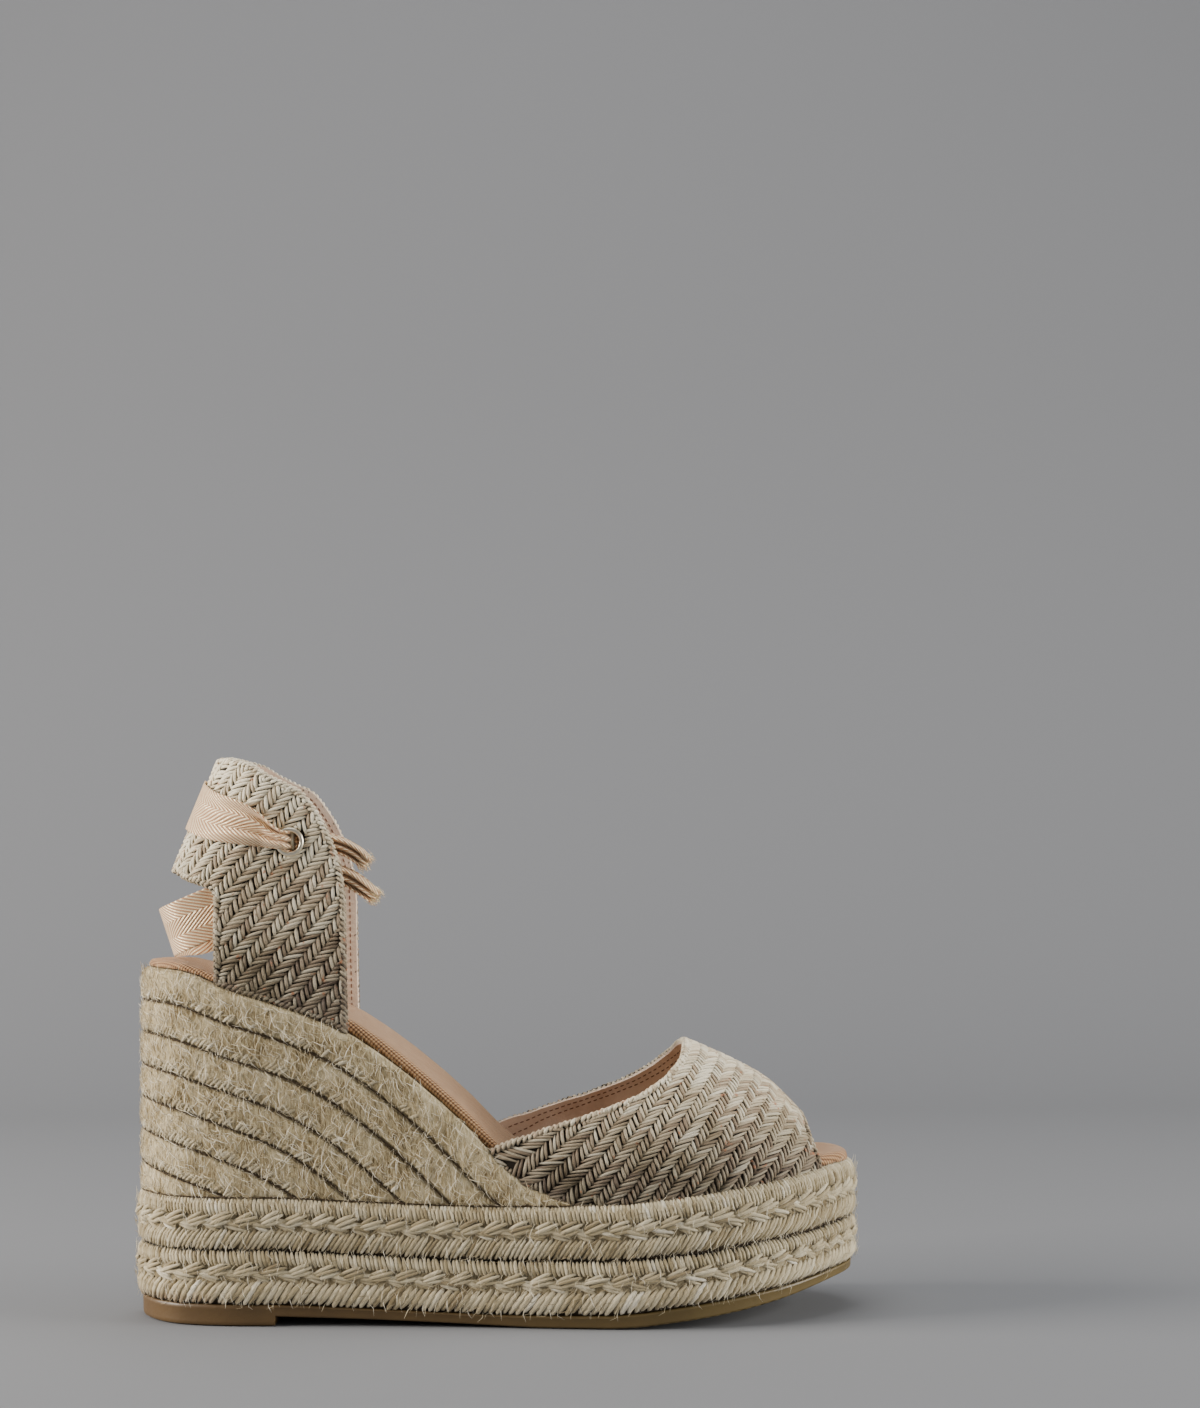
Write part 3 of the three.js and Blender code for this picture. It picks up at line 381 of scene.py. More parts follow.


# Natural raffia strip, folded and plaited: waxy straw with long grain; painted shade where it dives and along its
# sides, painted light high up and painted shade low down
def raffiaStraw():
    material, tree, shader = newMaterial("raffiaStraw", Roughness=0.55, IOR=1.48, Sheen_Weight=0.1)
    place = addNode(tree, "ShaderNodeTexCoord").outputs["Object"]
    strandMap = addNode(tree, "ShaderNodeUVMap", uv_map="strand").outputs[0]
    shade = addNode(tree, "ShaderNodeAttribute", attribute_name="shade").outputs["Fac"]
    # Height share of each strip on the upper, used for the painted light and shade below
    lift = addNode(tree, "ShaderNodeAttribute", attribute_name="lift").outputs["Fac"]
    grain = cloud(tree, mapped(tree, strandMap, (2.5, 20, 1)), 1, 4, 0.6)
    mix = maths(tree, "ADD", maths(tree, "MULTIPLY", shade, 0.5), maths(tree, "MULTIPLY", grain, 0.55))
    mix = maths(tree, "ADD", mix, maths(tree, "MULTIPLY", cloud(tree, place, 120, 2), 0.2))
    # Painted light: the higher a strip sits on the upper, the lighter it is made
    mix = maths(tree, "ADD", mix, maths(tree, "MULTIPLY", lift, 0.34))
    colour = ramp(tree, mix, ((0.35, raffiaLook["dark"]), (0.6, raffiaLook["mid"]), (0.82, raffiaLook["light"]), (1, raffiaLook["pale"])))
    greener = maths(tree, "MULTIPLY", ramp(tree, cloud(tree, place, 55, 2), ((0.5, 0.0), (0.62, 0.38))), maths(tree, "SUBTRACT", 1.0, lift))
    colour = blendColours(tree, "MIX", greener, colour, colourOf(raffiaLook["olive"]))
    # Painted shade: strips low on the upper are made darker
    colour = blendColours(tree, "MULTIPLY", 1, colour, ramp(tree, lift, ((0, 0.42), (0.5, 0.84), (0.85, 1))))
    flecks = ramp(tree, cloud(tree, place, 420, 2), ((0.66, 0.0), (0.74, 0.75)))
    colour = blendColours(tree, "MIX", flecks, colour, colourOf(raffiaLook["rust"]))
    # Painted shade: each strip is darker towards its ends, where it dives, and along its sides and underside
    parts = addNode(tree, "ShaderNodeSeparateXYZ", {0: strandMap}).outputs
    deep = ramp(tree, maths(tree, "PINGPONG", parts[0], 0.5), ((0.02, 0.15), (0.2, 1)))
    paintedSideShade = ramp(tree, maths(tree, "PINGPONG", parts[1], 0.5), ((0.16, 0.16), (0.4, 1)))
    colour = blendColours(tree, "MULTIPLY", 1, blendColours(tree, "MULTIPLY", 1, colour, deep), paintedSideShade)
    tree.links.new(colour, shader.inputs["Base Color"])
    giveBump(tree, shader, grain, 0.0004, 0.8)
    return material


def plainCloth(name, hexColour, roughness, pitch):
    material, tree, shader = newMaterial(name, Roughness=roughness, IOR=1.46)
    place = addNode(tree, "ShaderNodeTexCoord").outputs["Object"]
    speck = cloud(tree, place, 1000 / pitch, 3, 0.6)
    dark = tuple(c * 0.6 for c in colourOf(hexColour)[:3]) + (1,)
    tree.links.new(blendColours(tree, "MIX", speck, dark, colourOf(hexColour)), shader.inputs["Base Color"])
    giveBump(tree, shader, speck, 0.0003, 0.6)
    return material


# Lining leather: thin, soft, with fine pores and a dull shine
def liningLeather():
    material, tree, shader = newMaterial("liningLeather", Roughness=0.6, IOR=1.5, Coat_Weight=0.05)
    place = addNode(tree, "ShaderNodeTexCoord").outputs["Object"]
    pores = addNode(tree, "ShaderNodeTexVoronoi", {"Vector": place, "Scale": 1400}).outputs["Distance"]
    patch = cloud(tree, place, 45, 4, 0.6)
    colour = ramp(tree, patch, ((0.3, liningLook["fold"]), (0.6, liningLook["skin"])))
    tree.links.new(colour, shader.inputs["Base Color"])
    giveBump(tree, shader, maths(tree, "ADD", pores, patch), 0.0002, 0.5)
    return material


# Plain-weave cotton canvas over the insole, cut on the bias, drawn at its real thread spacing
def insoleCanvas():
    material, tree, shader = newMaterial("insoleCanvas", Roughness=0.85, IOR=1.46, Sheen_Weight=0.2)
    place = addNode(tree, "ShaderNodeTexCoord").outputs["Object"]
    pitch = canvasLook["pitch"] / 1000
    threads = []
    for bias in ((0.75, 0.62, 0.75), (0.75, -0.9, -0.62)):
        along = addNode(tree, "ShaderNodeVectorMath", {0: place, 1: bias}, operation="DOT_PRODUCT").outputs["Value"]
        threads.append(maths(tree, "ABSOLUTE", maths(tree, "SINE", maths(tree, "MULTIPLY", along, math.pi / pitch))))
    woven = maths(tree, "MULTIPLY", maths(tree, "ADD", threads[0], threads[1]), 0.55)
    slub = cloud(tree, place, 260, 3, 0.6)
    tone = maths(tree, "ADD", maths(tree, "MULTIPLY", woven, 0.75), maths(tree, "MULTIPLY", slub, 0.4))
    wear = addNode(tree, "ShaderNodeAttribute", attribute_name="wear").outputs["Fac"]
    colour = ramp(tree, tone, ((0.42, canvasLook["pit"]), (0.72, canvasLook["thread"]), (1, canvasLook["worn"])))
    # Towards the top of the rim the canvas is blended to a lighter, smoother tone
    colour = blendColours(tree, "MIX", maths(tree, "MULTIPLY", wear, 0.4), colour, colourOf(canvasLook["top"]))
    tree.links.new(colour, shader.inputs["Base Color"])
    giveBump(tree, shader, woven, 0.0005, 0.8)
    return material


# Herringbone twill tape with metallic thread: peach ground, pale gold ribs that zigzag across its width
def twillRibbon():
    material, tree, shader = newMaterial("twillRibbon", IOR=1.46, Sheen_Weight=0.25)
    surface = addNode(tree, "ShaderNodeUVMap", uv_map="surface").outputs[0]
    place = addNode(tree, "ShaderNodeTexCoord").outputs["Object"]
    parts = addNode(tree, "ShaderNodeSeparateXYZ", {0: surface})
    zigzag = maths(tree, "MULTIPLY", maths(tree, "PINGPONG", parts.outputs[1], ribbonLook["zone"] / 1000), 0.86)
    onward = maths(tree, "MULTIPLY", parts.outputs[0], 0.5)
    phase = maths(tree, "MULTIPLY", maths(tree, "ADD", onward, zigzag), 2000 * math.pi / ribbonLook["line"])
    rib = addNode(tree, "ShaderNodeMapRange", {0: maths(tree, "SINE", phase), 1: -1, 2: 1}).outputs[0]
    glint = cloud(tree, mapped(tree, surface, (2600, 2600, 1)), 1, 2)
    metal = maths(tree, "MULTIPLY", ramp(tree, rib, ((0.42, 0.0), (0.7, 1.0))), ramp(tree, glint, ((0.4, 0.35), (0.6, 1.0))))
    ground = ramp(tree, rib, ((0.1, ribbonLook["shade"]), (0.5, ribbonLook["ground"])))
    ground = blendColours(tree, "SOFT_LIGHT", 0.4, ground, ramp(tree, cloud(tree, place, 150), ((0.3, 0.3), (0.7, 0.7))))
    tree.links.new(blendColours(tree, "MIX", metal, ground, colourOf(ribbonLook["lurex"])), shader.inputs["Base Color"])
    tree.links.new(maths(tree, "MULTIPLY", metal, 0.35), shader.inputs["Metallic"])
    tree.links.new(maths(tree, "SUBTRACT", 0.75, maths(tree, "MULTIPLY", metal, 0.4)), shader.inputs["Roughness"])
    giveBump(tree, shader, rib, 0.0003, 0.8)
    return material


# Loose thread at the tape's cut ends: peach yarn and pale gold metallic strip by turns
def lurexThread():
    material, tree, shader = newMaterial("lurexThread", IOR=1.46)
    shade = addNode(tree, "ShaderNodeAttribute", attribute_name="shade").outputs["Fac"]
    tree.links.new(ramp(tree, shade, ((0.3, ribbonLook["ground"]), (0.6, ribbonLook["lurex"]))), shader.inputs["Base Color"])
    tree.links.new(ramp(tree, shade, ((0.5, 0.0), (0.7, 0.7))), shader.inputs["Metallic"])
    tree.links.new(ramp(tree, shade, ((0.5, 0.7), (0.7, 0.25))), shader.inputs["Roughness"])
    return material


# Rolled eyelet, pale gold plate over brass, polished with fine handling marks
def eyeletPlate():
    material, tree, shader = newMaterial("eyeletPlate", Metallic=1.0)
    shader.inputs["Base Color"].default_value = colourOf(eyeletLook["plate"])
    place = addNode(tree, "ShaderNodeTexCoord").outputs["Object"]
    marks = cloud(tree, place, 1800, 3)
    rough = addNode(tree, "ShaderNodeMapRange", {0: marks, 3: 0.24, 4: 0.4}).outputs[0]
    tree.links.new(rough, shader.inputs["Roughness"])
    giveBump(tree, shader, marks, 0.00003, 0.3)
    return material


finish = {
    "rubber": gumRubber(), "yarn": juteYarn("juteYarn"), "ropeYarn": juteYarn("juteRopeYarn", 0.04), "packing": jutePacking(),
    "fibre": juteFibre(), "raffia": raffiaStraw(), "under": plainCloth("weaveShadow", raffiaLook["under"], 0.9, 0.6),
    "lining": liningLeather(), "canvas": insoleCanvas(), "ribbon": twillRibbon(), "plate": eyeletPlate(),
    "thread": plainCloth("stitchThread", liningLook["stitch"], 0.7, 0.3), "lurexThread": lurexThread(), "grooveShadowCord": plainCloth("ropeSeam", juteLook["grooveShadowCord"], 0.95, 0.5),
}
print("materials made")


# Geometry Nodes: strands laid on marked points, and fibres scattered over a surface
def startTree(name, sockets):
    tree = bpy.data.node_groups.new(name, "GeometryNodeTree")
    tree.interface.new_socket("Geometry", in_out="INPUT", socket_type="NodeSocketGeometry")
    tree.interface.new_socket("Geometry", in_out="OUTPUT", socket_type="NodeSocketGeometry")
    for label, kind in sockets:
        tree.interface.new_socket(label, in_out="INPUT", socket_type="NodeSocket" + kind)
    return tree, addNode(tree, "NodeGroupInput").outputs


def randomPick(tree, low, high, seed, kind="FLOAT"):
    first = {"FLOAT_VECTOR": 0, "FLOAT": 2, "INT": 4}[kind]
    node = addNode(tree, "FunctionNodeRandomValue", {first: low, first + 1: high, "Seed": seed}, data_type=kind)
    return node.outputs[{"FLOAT_VECTOR": 0, "FLOAT": 1, "INT": 2}[kind]]


def placedShapes(tree, given, points, rotation, scale):
    shapes = addNode(tree, "GeometryNodeCollectionInfo", {"Collection": given["Shapes"], "Separate Children": True, "Reset Children": True})
    pick = randomPick(tree, 0, given["Last Shape"], given["Seed"], "INT")
    put = addNode(tree, "GeometryNodeInstanceOnPoints", {
        "Points": points, "Instance": shapes.outputs[0], "Pick Instance": True, "Instance Index": pick, "Rotation": rotation, "Scale": scale})
    joined = addNode(tree, "GeometryNodeRealizeInstances", {"Geometry": put.outputs[0]})
    done = addNode(tree, "GeometryNodeSetMaterial", {"Geometry": joined.outputs[0], "Material": given["Material"]})
    addNode(tree, "NodeGroupOutput", {0: done.outputs[0]})


def turnedBy(tree, rotation, axis, angle):
    twist = addNode(tree, "FunctionNodeAxisAngleToRotation", {"Axis": axis, "Angle": angle}).outputs[0]
    return addNode(tree, "FunctionNodeRotateRotation", {"Rotation": rotation, "Rotate By": twist}, rotation_space="LOCAL").outputs[0]


def named(tree, name, kind="FLOAT_VECTOR"):
    return addNode(tree, "GeometryNodeInputNamedAttribute", {"Name": name}, data_type=kind).outputs[0]


def layStrandsTree():
    tree, given = startTree("layStrands", (
        ("Shapes", "Collection"), ("Last Shape", "Int"), ("Size Spread", "Float"), ("Turn Spread", "Float"), ("Seed", "Int"), ("Material", "Material")))
    along = addNode(tree, "FunctionNodeAlignRotationToVector", {"Vector": named(tree, "along")}, axis="X")
    facing = addNode(tree, "FunctionNodeAlignRotationToVector", {"Rotation": along.outputs[0], "Vector": named(tree, "out")}, axis="Z", pivot_axis="X")
    swing = maths(tree, "MULTIPLY", randomPick(tree, -1.0, 1.0, given["Seed"]), given["Turn Spread"])
    rotation = turnedBy(tree, facing.outputs[0], (0, 0, 1), swing)
    grown = maths(tree, "ADD", maths(tree, "MULTIPLY", randomPick(tree, -1.0, 1.0, maths(tree, "ADD", given["Seed"], 7)), given["Size Spread"]), 1.0)
    size = addNode(tree, "ShaderNodeVectorMath", {0: named(tree, "size"), "Scale": grown}, operation="SCALE").outputs[0]
    placedShapes(tree, given, given["Geometry"], rotation, size)
    return tree


def scatterFibresTree():
    tree, given = startTree("scatterFibres", (
        ("Shapes", "Collection"), ("Last Shape", "Int"), ("Density", "Float"), ("Fibre Length", "Float"),
        ("Turn Spread", "Float"), ("Lift", "Float"), ("Height", "Float"), ("Seed", "Int"), ("Material", "Material")))
    density = maths(tree, "MULTIPLY", named(tree, "hairy", "FLOAT"), given["Density"])
    spread = addNode(tree, "GeometryNodeDistributePointsOnFaces", {"Mesh": given["Geometry"], "Density": density, "Seed": given["Seed"]})
    normal = spread.outputs["Normal"]
    shaded = addNode(tree, "GeometryNodeStoreNamedAttribute", {
        "Geometry": spread.outputs["Points"], "Name": "shade", "Value": randomPick(tree, 0.0, 1.0, 3)}, data_type="FLOAT", domain="POINT")
    offset = addNode(tree, "ShaderNodeVectorMath", {0: normal, "Scale": maths(tree, "MULTIPLY", randomPick(tree, 0.0, 1.0, 5), given["Height"])}, operation="SCALE")
    raised = addNode(tree, "GeometryNodeSetPosition", {"Geometry": shaded.outputs[0], "Offset": offset.outputs[0]})
    along = addNode(tree, "FunctionNodeAlignRotationToVector", {"Vector": named(tree, "grain")}, axis="X")
    facing = addNode(tree, "FunctionNodeAlignRotationToVector", {"Rotation": along.outputs[0], "Vector": named(tree, "face")}, axis="Z", pivot_axis="X")
    swing = maths(tree, "MULTIPLY", randomPick(tree, -1.0, 1.0, given["Seed"]), given["Turn Spread"])
    rotation = turnedBy(tree, facing.outputs[0], (0, 0, 1), swing)
    rotation = turnedBy(tree, rotation, (0, 1, 0), maths(tree, "MULTIPLY", randomPick(tree, -1.0, 0.6, 11), given["Lift"]))
    long = maths(tree, "MULTIPLY", randomPick(tree, 0.5, 1.25, 13), given["Fibre Length"])
    placedShapes(tree, given, raised.outputs[0], rotation, long)
    return tree


trees = {"strands": layStrandsTree(), "fibres": scatterFibresTree()}


# Puts a node tree on an object, sets its inputs and keeps the result as a plain mesh
def throughNodes(piece, tree, values):
    modifier = piece.modifiers.new(tree.name, "NODES")
    modifier.node_group = tree
    sockets = {item.name: item.identifier for item in tree.interface.items_tree if item.in_out == "INPUT"}
    for label, value in values.items():
        modifier[sockets[label]] = value
    depsgraph = bpy.context.evaluated_depsgraph_get()
    mesh = bpy.data.meshes.new_from_object(piece.evaluated_get(depsgraph), preserve_all_data_layers=True, depsgraph=depsgraph)
    mesh.name = piece.name
    piece.modifiers.remove(modifier)
    piece.data = mesh
    mesh.polygons.foreach_set("use_smooth", [True] * len(mesh.polygons))
    return piece


# One strand of unit size along X: a lens with blunt ends, bent down at both
def strandShape(group, bend, blunt, sides, sections, curl=0.0, radius=0.5):
    points, uvs, faces = [], [], []
    for i in range(sections + 1):
        t = math.sin(math.pi * (i / sections - 0.5))
        wide = radius * max(1 - abs(t) ** blunt, 0.03) ** 0.5
        for k in range(sides):
            angle = 2 * math.pi * (k / sides - 0.25)
            points.append((t / 2, wide * math.cos(angle) + curl * (1 - t * t), wide * math.sin(angle) - bend * t * t))
            uvs.append((i / sections, k / sides))
    for i in range(sections):
        for k in range(sides):
            a, b = i * sides + k, i * sides + (k + 1) % sides
            faces.append((a, a + sides, b + sides, b))
    faces.append(tuple(range(sides)))
    faces.append(tuple(range(sections * sides + sides - 1, sections * sides - 1, -1)))
    mesh = bpy.data.meshes.new("shape")
    mesh.from_pydata(points, [], faces)
    layer = mesh.uv_layers.new(name="strand")
    corners = np.empty(len(mesh.loops), dtype=int)
    mesh.loops.foreach_get("vertex_index", corners)
    layer.data.foreach_set("uv", np.asarray(uvs)[corners].ravel())
    group.objects.link(bpy.data.objects.new("shape", mesh))


def shapeGroup(name, *shapes):
    group = bpy.data.collections.new(name)
    for shape in shapes:
        strandShape(group, **shape)
    return group


shapes = {
    "yarn": shapeGroup("yarnShapes", dict(bend=0.55, blunt=2.6, sides=6, sections=5), dict(bend=0.4, blunt=3, sides=6, sections=5, curl=0.12)),
    "raffia": shapeGroup(
        "raffiaShapes", dict(bend=0.7, blunt=3, sides=6, sections=5), dict(bend=0.6, blunt=2.6, sides=6, sections=5, curl=0.1),
        dict(bend=0.75, blunt=3.4, sides=6, sections=5, curl=-0.1)),
    "stitch": shapeGroup("stitchShapes", dict(bend=0.5, blunt=4, sides=6, sections=4)),
    "fibre": shapeGroup(
        "fibreShapes", dict(bend=-0.1, blunt=6, sides=3, sections=2, curl=0.12, radius=0.02),
        dict(bend=0.08, blunt=6, sides=3, sections=2, curl=-0.2, radius=0.017),
        dict(bend=-0.05, blunt=6, sides=3, sections=2, curl=0.05, radius=0.024),
        dict(bend=0.16, blunt=6, sides=3, sections=2, curl=0.3, radius=0.016)),
}


# A bed is the marked points that strands are laid on, in mm
def newBed():
    return {key: [] for key in ("place", "along", "out", "size", "shade", "lift")}


def layRow(bed, place, along, out, size, shade, lift=0.0):
    count = len(place)
    bed["place"].append(np.asarray(place, dtype=float).reshape(count, 3))
    bed["along"].append(np.asarray(along, dtype=float).reshape(count, 3))
    bed["out"].append(np.asarray(out, dtype=float).reshape(count, 3))
    bed["size"].append(np.broadcast_to(np.asarray(size, dtype=float), (count, 3)))
    bed["shade"].append(np.broadcast_to(np.asarray(shade, dtype=float), (count,)))
    bed["lift"].append(np.broadcast_to(np.asarray(lift, dtype=float), (count,)))


def strandPiece(name, bed, group, material, sizeSpread=0.08, turnSpread=0.06, seed=1):
    rows = {key: np.concatenate(values) for key, values in bed.items()}
    mesh = bpy.data.meshes.new(name)
    mesh.from_pydata([tuple(p) for p in inMetres(rows["place"])], [], [])
    for key in ("along", "out", "size"):
        giveAttribute(mesh, key, "FLOAT_VECTOR", rows[key] * (0.001 if key == "size" else 1))
    for key in ("shade", "lift"):
        giveAttribute(mesh, key, "FLOAT", rows[key])
    piece = throughNodes(newObject(name, mesh), trees["strands"], {
        "Shapes": shapes[group], "Last Shape": len(shapes[group].objects) - 1, "Size Spread": sizeSpread,
        "Turn Spread": turnSpread, "Seed": seed, "Material": material})
    print(name, len(rows["place"]), "strands")
    return piece


def fibrePiece(name, surface, material, density, length, turnSpread, lift, height, seed):
    piece = newObject(name, surface.data.copy())
    throughNodes(piece, trees["fibres"], {
        "Shapes": shapes["fibre"], "Last Shape": 3, "Density": density, "Fibre Length": length * 0.001, "Turn Spread": turnSpread,
        "Lift": lift, "Height": height * 0.001, "Seed": seed, "Material": material})
    print(name, len(piece.data.polygons), "faces")
    return piece


def turnedAbout(vectors, axes, angle):
    cosine, sine = np.cos(angle), np.sin(angle)
    if np.ndim(angle):
        cosine, sine = cosine[:, None], sine[:, None]
    return vectors * cosine + np.cross(axes, vectors) * sine


def unit(vectors):
    return vectors / np.maximum(np.linalg.norm(vectors, axis=-1, keepdims=True), 1e-9)


picks = np.random.default_rng(11)


def finished(piece, slot, *nodes):
    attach(piece, "root")
    if nodes:
        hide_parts(*nodes)
    return piece


# Closed body from rings round the sole, lowest first, capped by strips from side to side
def ringOf(turns, place):
    return [place(turn, "lateral") for turn in turns] + [place(turn, "medial") for turn in turns[:0:-1]]


def stackPiece(name, rings, finishes, wound=None, marks=None, sharp=38):
    count = len(rings[0])
    points = np.array([p for ring in rings for p in ring])
    faces = gridFaces(len(rings), count, closed=True)
    pairs = (count - 1) // 2
    top = (len(rings) - 1) * count
    for i in range(pairs):
        across, ahead = (count - i) % count, count - i - 1
        faces.append(tuple(dict.fromkeys((top + i, top + i + 1, top + ahead, top + across))))
        faces.append(tuple(dict.fromkeys((i, across, ahead, i + 1))))
    ringStep = np.linalg.norm(np.diff(points[:count], axis=0, prepend=points[:1]), axis=1).cumsum()
    across = np.concatenate(([0], np.cumsum([np.linalg.norm(points[(j + 1) * count + count // 4] - points[j * count + count // 4])
                                             for j in range(len(rings) - 1)])))
    uvs = np.array([(ringStep[i], across[j]) for j in range(len(rings)) for i in range(count)]) * 0.001
    piece = meshPiece(name, inMetres(points), faces, uvs, finishes)
    for label, (kind, values) in (marks or {}).items():
        giveAttribute(piece.data, label, kind, values)
    weld(piece.data)
    piece.data.set_sharp_from_angle(angle=math.radians(sharp))
    return piece


def weld(mesh):
    form = bmesh.new()
    form.from_mesh(mesh)
    bmesh.ops.remove_doubles(form, verts=form.verts, dist=1e-6)
    form.to_mesh(mesh)
    form.free()


# Shell between an outer and an inner grid, its free edges rounded by a middle line
def shellForm(outer, inner, rearOpen=None, bulge=0.35, split=0.5):
    rows, columns = outer.shape[:2]
    points = [*outer.reshape(-1, 3), *inner.reshape(-1, 3)]
    faces = gridFaces(rows, columns) + gridFaces(rows, columns, rows * columns, flipped=True)
    sorts = [0] * ((rows - 1) * (columns - 1)) + [1] * ((rows - 1) * (columns - 1))
    number = np.arange(rows * columns).reshape(rows, columns)
    borders = ((number[0], number[1], False), (number[-1], number[-2], True), (number[:, 0], number[:, 1], True), (number[:, -1], number[:, -2], False))
    for side, (edge, inward, flipped) in enumerate(borders):
        free = rearOpen if side == 2 and rearOpen is not None else [True] * len(edge)
        first = len(points)
        for i, (a, b) in enumerate(zip(edge, inward)):
            push = unit(np.asarray(points[a]) - np.asarray(points[b])) * (bulge if free[i] else 0)
            points.append(np.asarray(points[a]) * (1 - split) + np.asarray(points[a + rows * columns]) * split + push)
        for i in range(len(edge) - 1):
            if not (free[i] or free[i + 1]):
                continue
            a, b, c, d = edge[i], edge[i + 1], first + i + 1, first + i
            near = (a, d, c, b)
            far = (d, a + rows * columns, b + rows * columns, c)
            faces += [near[::-1], far[::-1]] if flipped else [near, far]
            sorts += [0, 1]
    return points, faces, sorts


# Ribbon: one flat tape, gathered in pleats where it is narrow, so that its cloth keeps its full width
tape = {"width": 16, "thick": 0.45, "pleats": 2.5, "columns": 26}
longTail = (
    (-65.5, 19.8, 151, 4.6, 0), (-71, 19.2, 147, 8, 0), (-78, 18.8, 140.5, 12.5, 0), (-85, 18.6, 133.5, 15.5, 0),
    (-92, 18.2, 125.8, 16, -0.08), (-98.5, 17.4, 122.3, 16, -0.16), (-103.4, 13.6, 121.9, 16, -0.24), (-106, 6, 121.7, 16, -0.3),
    (-106.6, -2, 121.8, 16, -0.33), (-105.3, -10, 122.7, 16, -0.32), (-101.2, -16.8, 124.4, 16, -0.26), (-95, -19.2, 127, 16, -0.14),
    (-87.5, -19.8, 130, 16, -0.04), (-79, -20.2, 133.6, 15, 0), (-70, -20.6, 137.4, 12, 0), (-61, -21.2, 140.6, 9.5, 0),
    (-53, -21.8, 141.6, 6, 0.1), (-47, -22.8, 140, 5.4, 0.2), (-41.5, -24, 136.6, 5, 0.2), (-37.4, -25, 133.4, 4.2, 0.1),
)
shortTail = (
    (-63.2, -21.4, 151.4, 5.8, 0), (-58, -20.4, 151.8, 5.6, 0), (-52.5, -21, 151, 5.4, 0), (-47.5, -21.2, 149.4, 5, 0.1),
    (-43.4, -21.6, 146.8, 4.8, 0.2), (-40.8, -21.8, 144.2, 4.2, 0.2),
)
bandForm = {"along": (0, 0.03, 0.05, 0.12, 0.22, 0.36, 0.56, 0.78, 1), "up": (0, 0.03, 0.05, 0.14, 0.32, 0.5, 0.66, 0.86, 1),
            "width": (0.36, 0.36, 0.37, 0.46, 0.66, 0.84, 0.95, 1, 1), "out": (-3.2, 1.0, 2.4, 1.9, 1.1, 1, 1, 1, 1), "rise": 12}


# Smooth line through rows, evenly spaced, with each column carried along
def smoothRows(rows, every=1.2):
    rows = np.array(rows, dtype=float)
    line = []
    for i in range(len(rows) - 1):
        a, b, c, d = rows[max(i - 1, 0)], rows[i], rows[i + 1], rows[min(i + 2, len(rows) - 1)]
        for t in np.linspace(0, 1, 12, endpoint=False):
            line.append(0.5 * (2 * b + (c - a) * t + (2 * a - 5 * b + 4 * c - d) * t * t + (3 * b - a - 3 * c + d) * t ** 3))
    line = np.array(line + [rows[-1]])
    length = np.concatenate(([0], np.cumsum(np.linalg.norm(np.diff(line[:, :3], axis=0), axis=1))))
    spots = np.linspace(0, length[-1], round(length[-1] / every) + 1)
    return np.stack([np.interp(spots, length, line[:, column]) for column in range(line.shape[1])], axis=1)


# Height of the pleats that folds the tape's full width into a narrower one
def pleatHeight(width):
    low, high = 0.0, 4.0
    v = np.linspace(0, 1, 160)
    for _ in range(18):
        middle = (low + high) / 2
        wave = middle * np.cos(2 * math.pi * tape["pleats"] * v)
        folded = np.hypot(np.diff(v) * width, np.diff(wave)).sum()
        low, high = (middle, high) if folded < tape["width"] else (low, middle)
    return low


def tapePiece(name, centre, across, facing, width, rough=0.0):
    columns, rows = tape["columns"], len(centre)
    v = np.linspace(0, 1, columns)
    length = np.concatenate(([0], np.cumsum(np.linalg.norm(np.diff(centre, axis=0), axis=1))))
    deep = np.array([pleatHeight(min(w, tape["width"])) for w in width])
    wave = deep[:, None] * np.cos(2 * math.pi * tape["pleats"] * v + np.sin(length / 7)[:, None] * 0.5)
    side = (v - 0.5) * width[:, None]
    surface = centre[:, None] + across[:, None] * side[..., None] + facing[:, None] * wave[..., None]
    normal = unit(np.cross(np.gradient(surface, axis=0), np.gradient(surface, axis=1)))
    half = tape["thick"] / 2
    points, faces, _ = shellForm(surface + normal * half, surface - normal * half, bulge=0.05)
    flat = [(u, k * tape["width"] / (columns - 1)) for u in length for k in range(columns)]
    flat = flat + flat
    edges = ([(length[0], k) for k in range(columns)], [(length[-1], k) for k in range(columns)])
    flat += [(u, k * tape["width"] / (columns - 1)) for edge in edges for u, k in edge]
    flat += [(u, 0) for u in length] + [(u, tape["width"]) for u in length]
    piece = meshPiece(name, inMetres(points), faces, np.array(flat) * 0.001, [finish["ribbon"]])
    return piece


def tailPiece(name, rows):
    line = smoothRows(rows)
    centre = line[:, :3]
    onward = unit(np.gradient(centre, axis=0))
    tipped = unit(np.column_stack((line[:, 4], np.zeros(len(line)), np.ones(len(line)))))
    facing = unit(np.cross(onward, tipped))
    across = unit(np.cross(facing, onward))
    return tapePiece(name, centre, across, facing, line[:, 3]), inMetres(centre)


# Cut end of the tape: loose weft and metallic threads of uneven length
def layFray(bed, rows):
    line = smoothRows(rows)
    onward = unit(line[-1, :3] - line[-4, :3])
    count = 120
    side = np.cross(onward, (0, 1, 0))
    place = line[-1, :3] + side * picks.uniform(-0.5, 0.5, (count, 1)) * line[-1, 3] * 1.1
    place = place + np.array((0, 1, 0)) * picks.uniform(-1.3, 1.3, (count, 1)) - onward * picks.uniform(-0.2, 1.6, (count, 1))
    along = unit(onward + picks.normal(0, 0.35, (count, 3)))
    size = picks.uniform(2.0, 5.0, (count, 1)) * np.ones(3)
    layRow(bed, place, along, unit(np.cross(along, side)), size, picks.random(count))


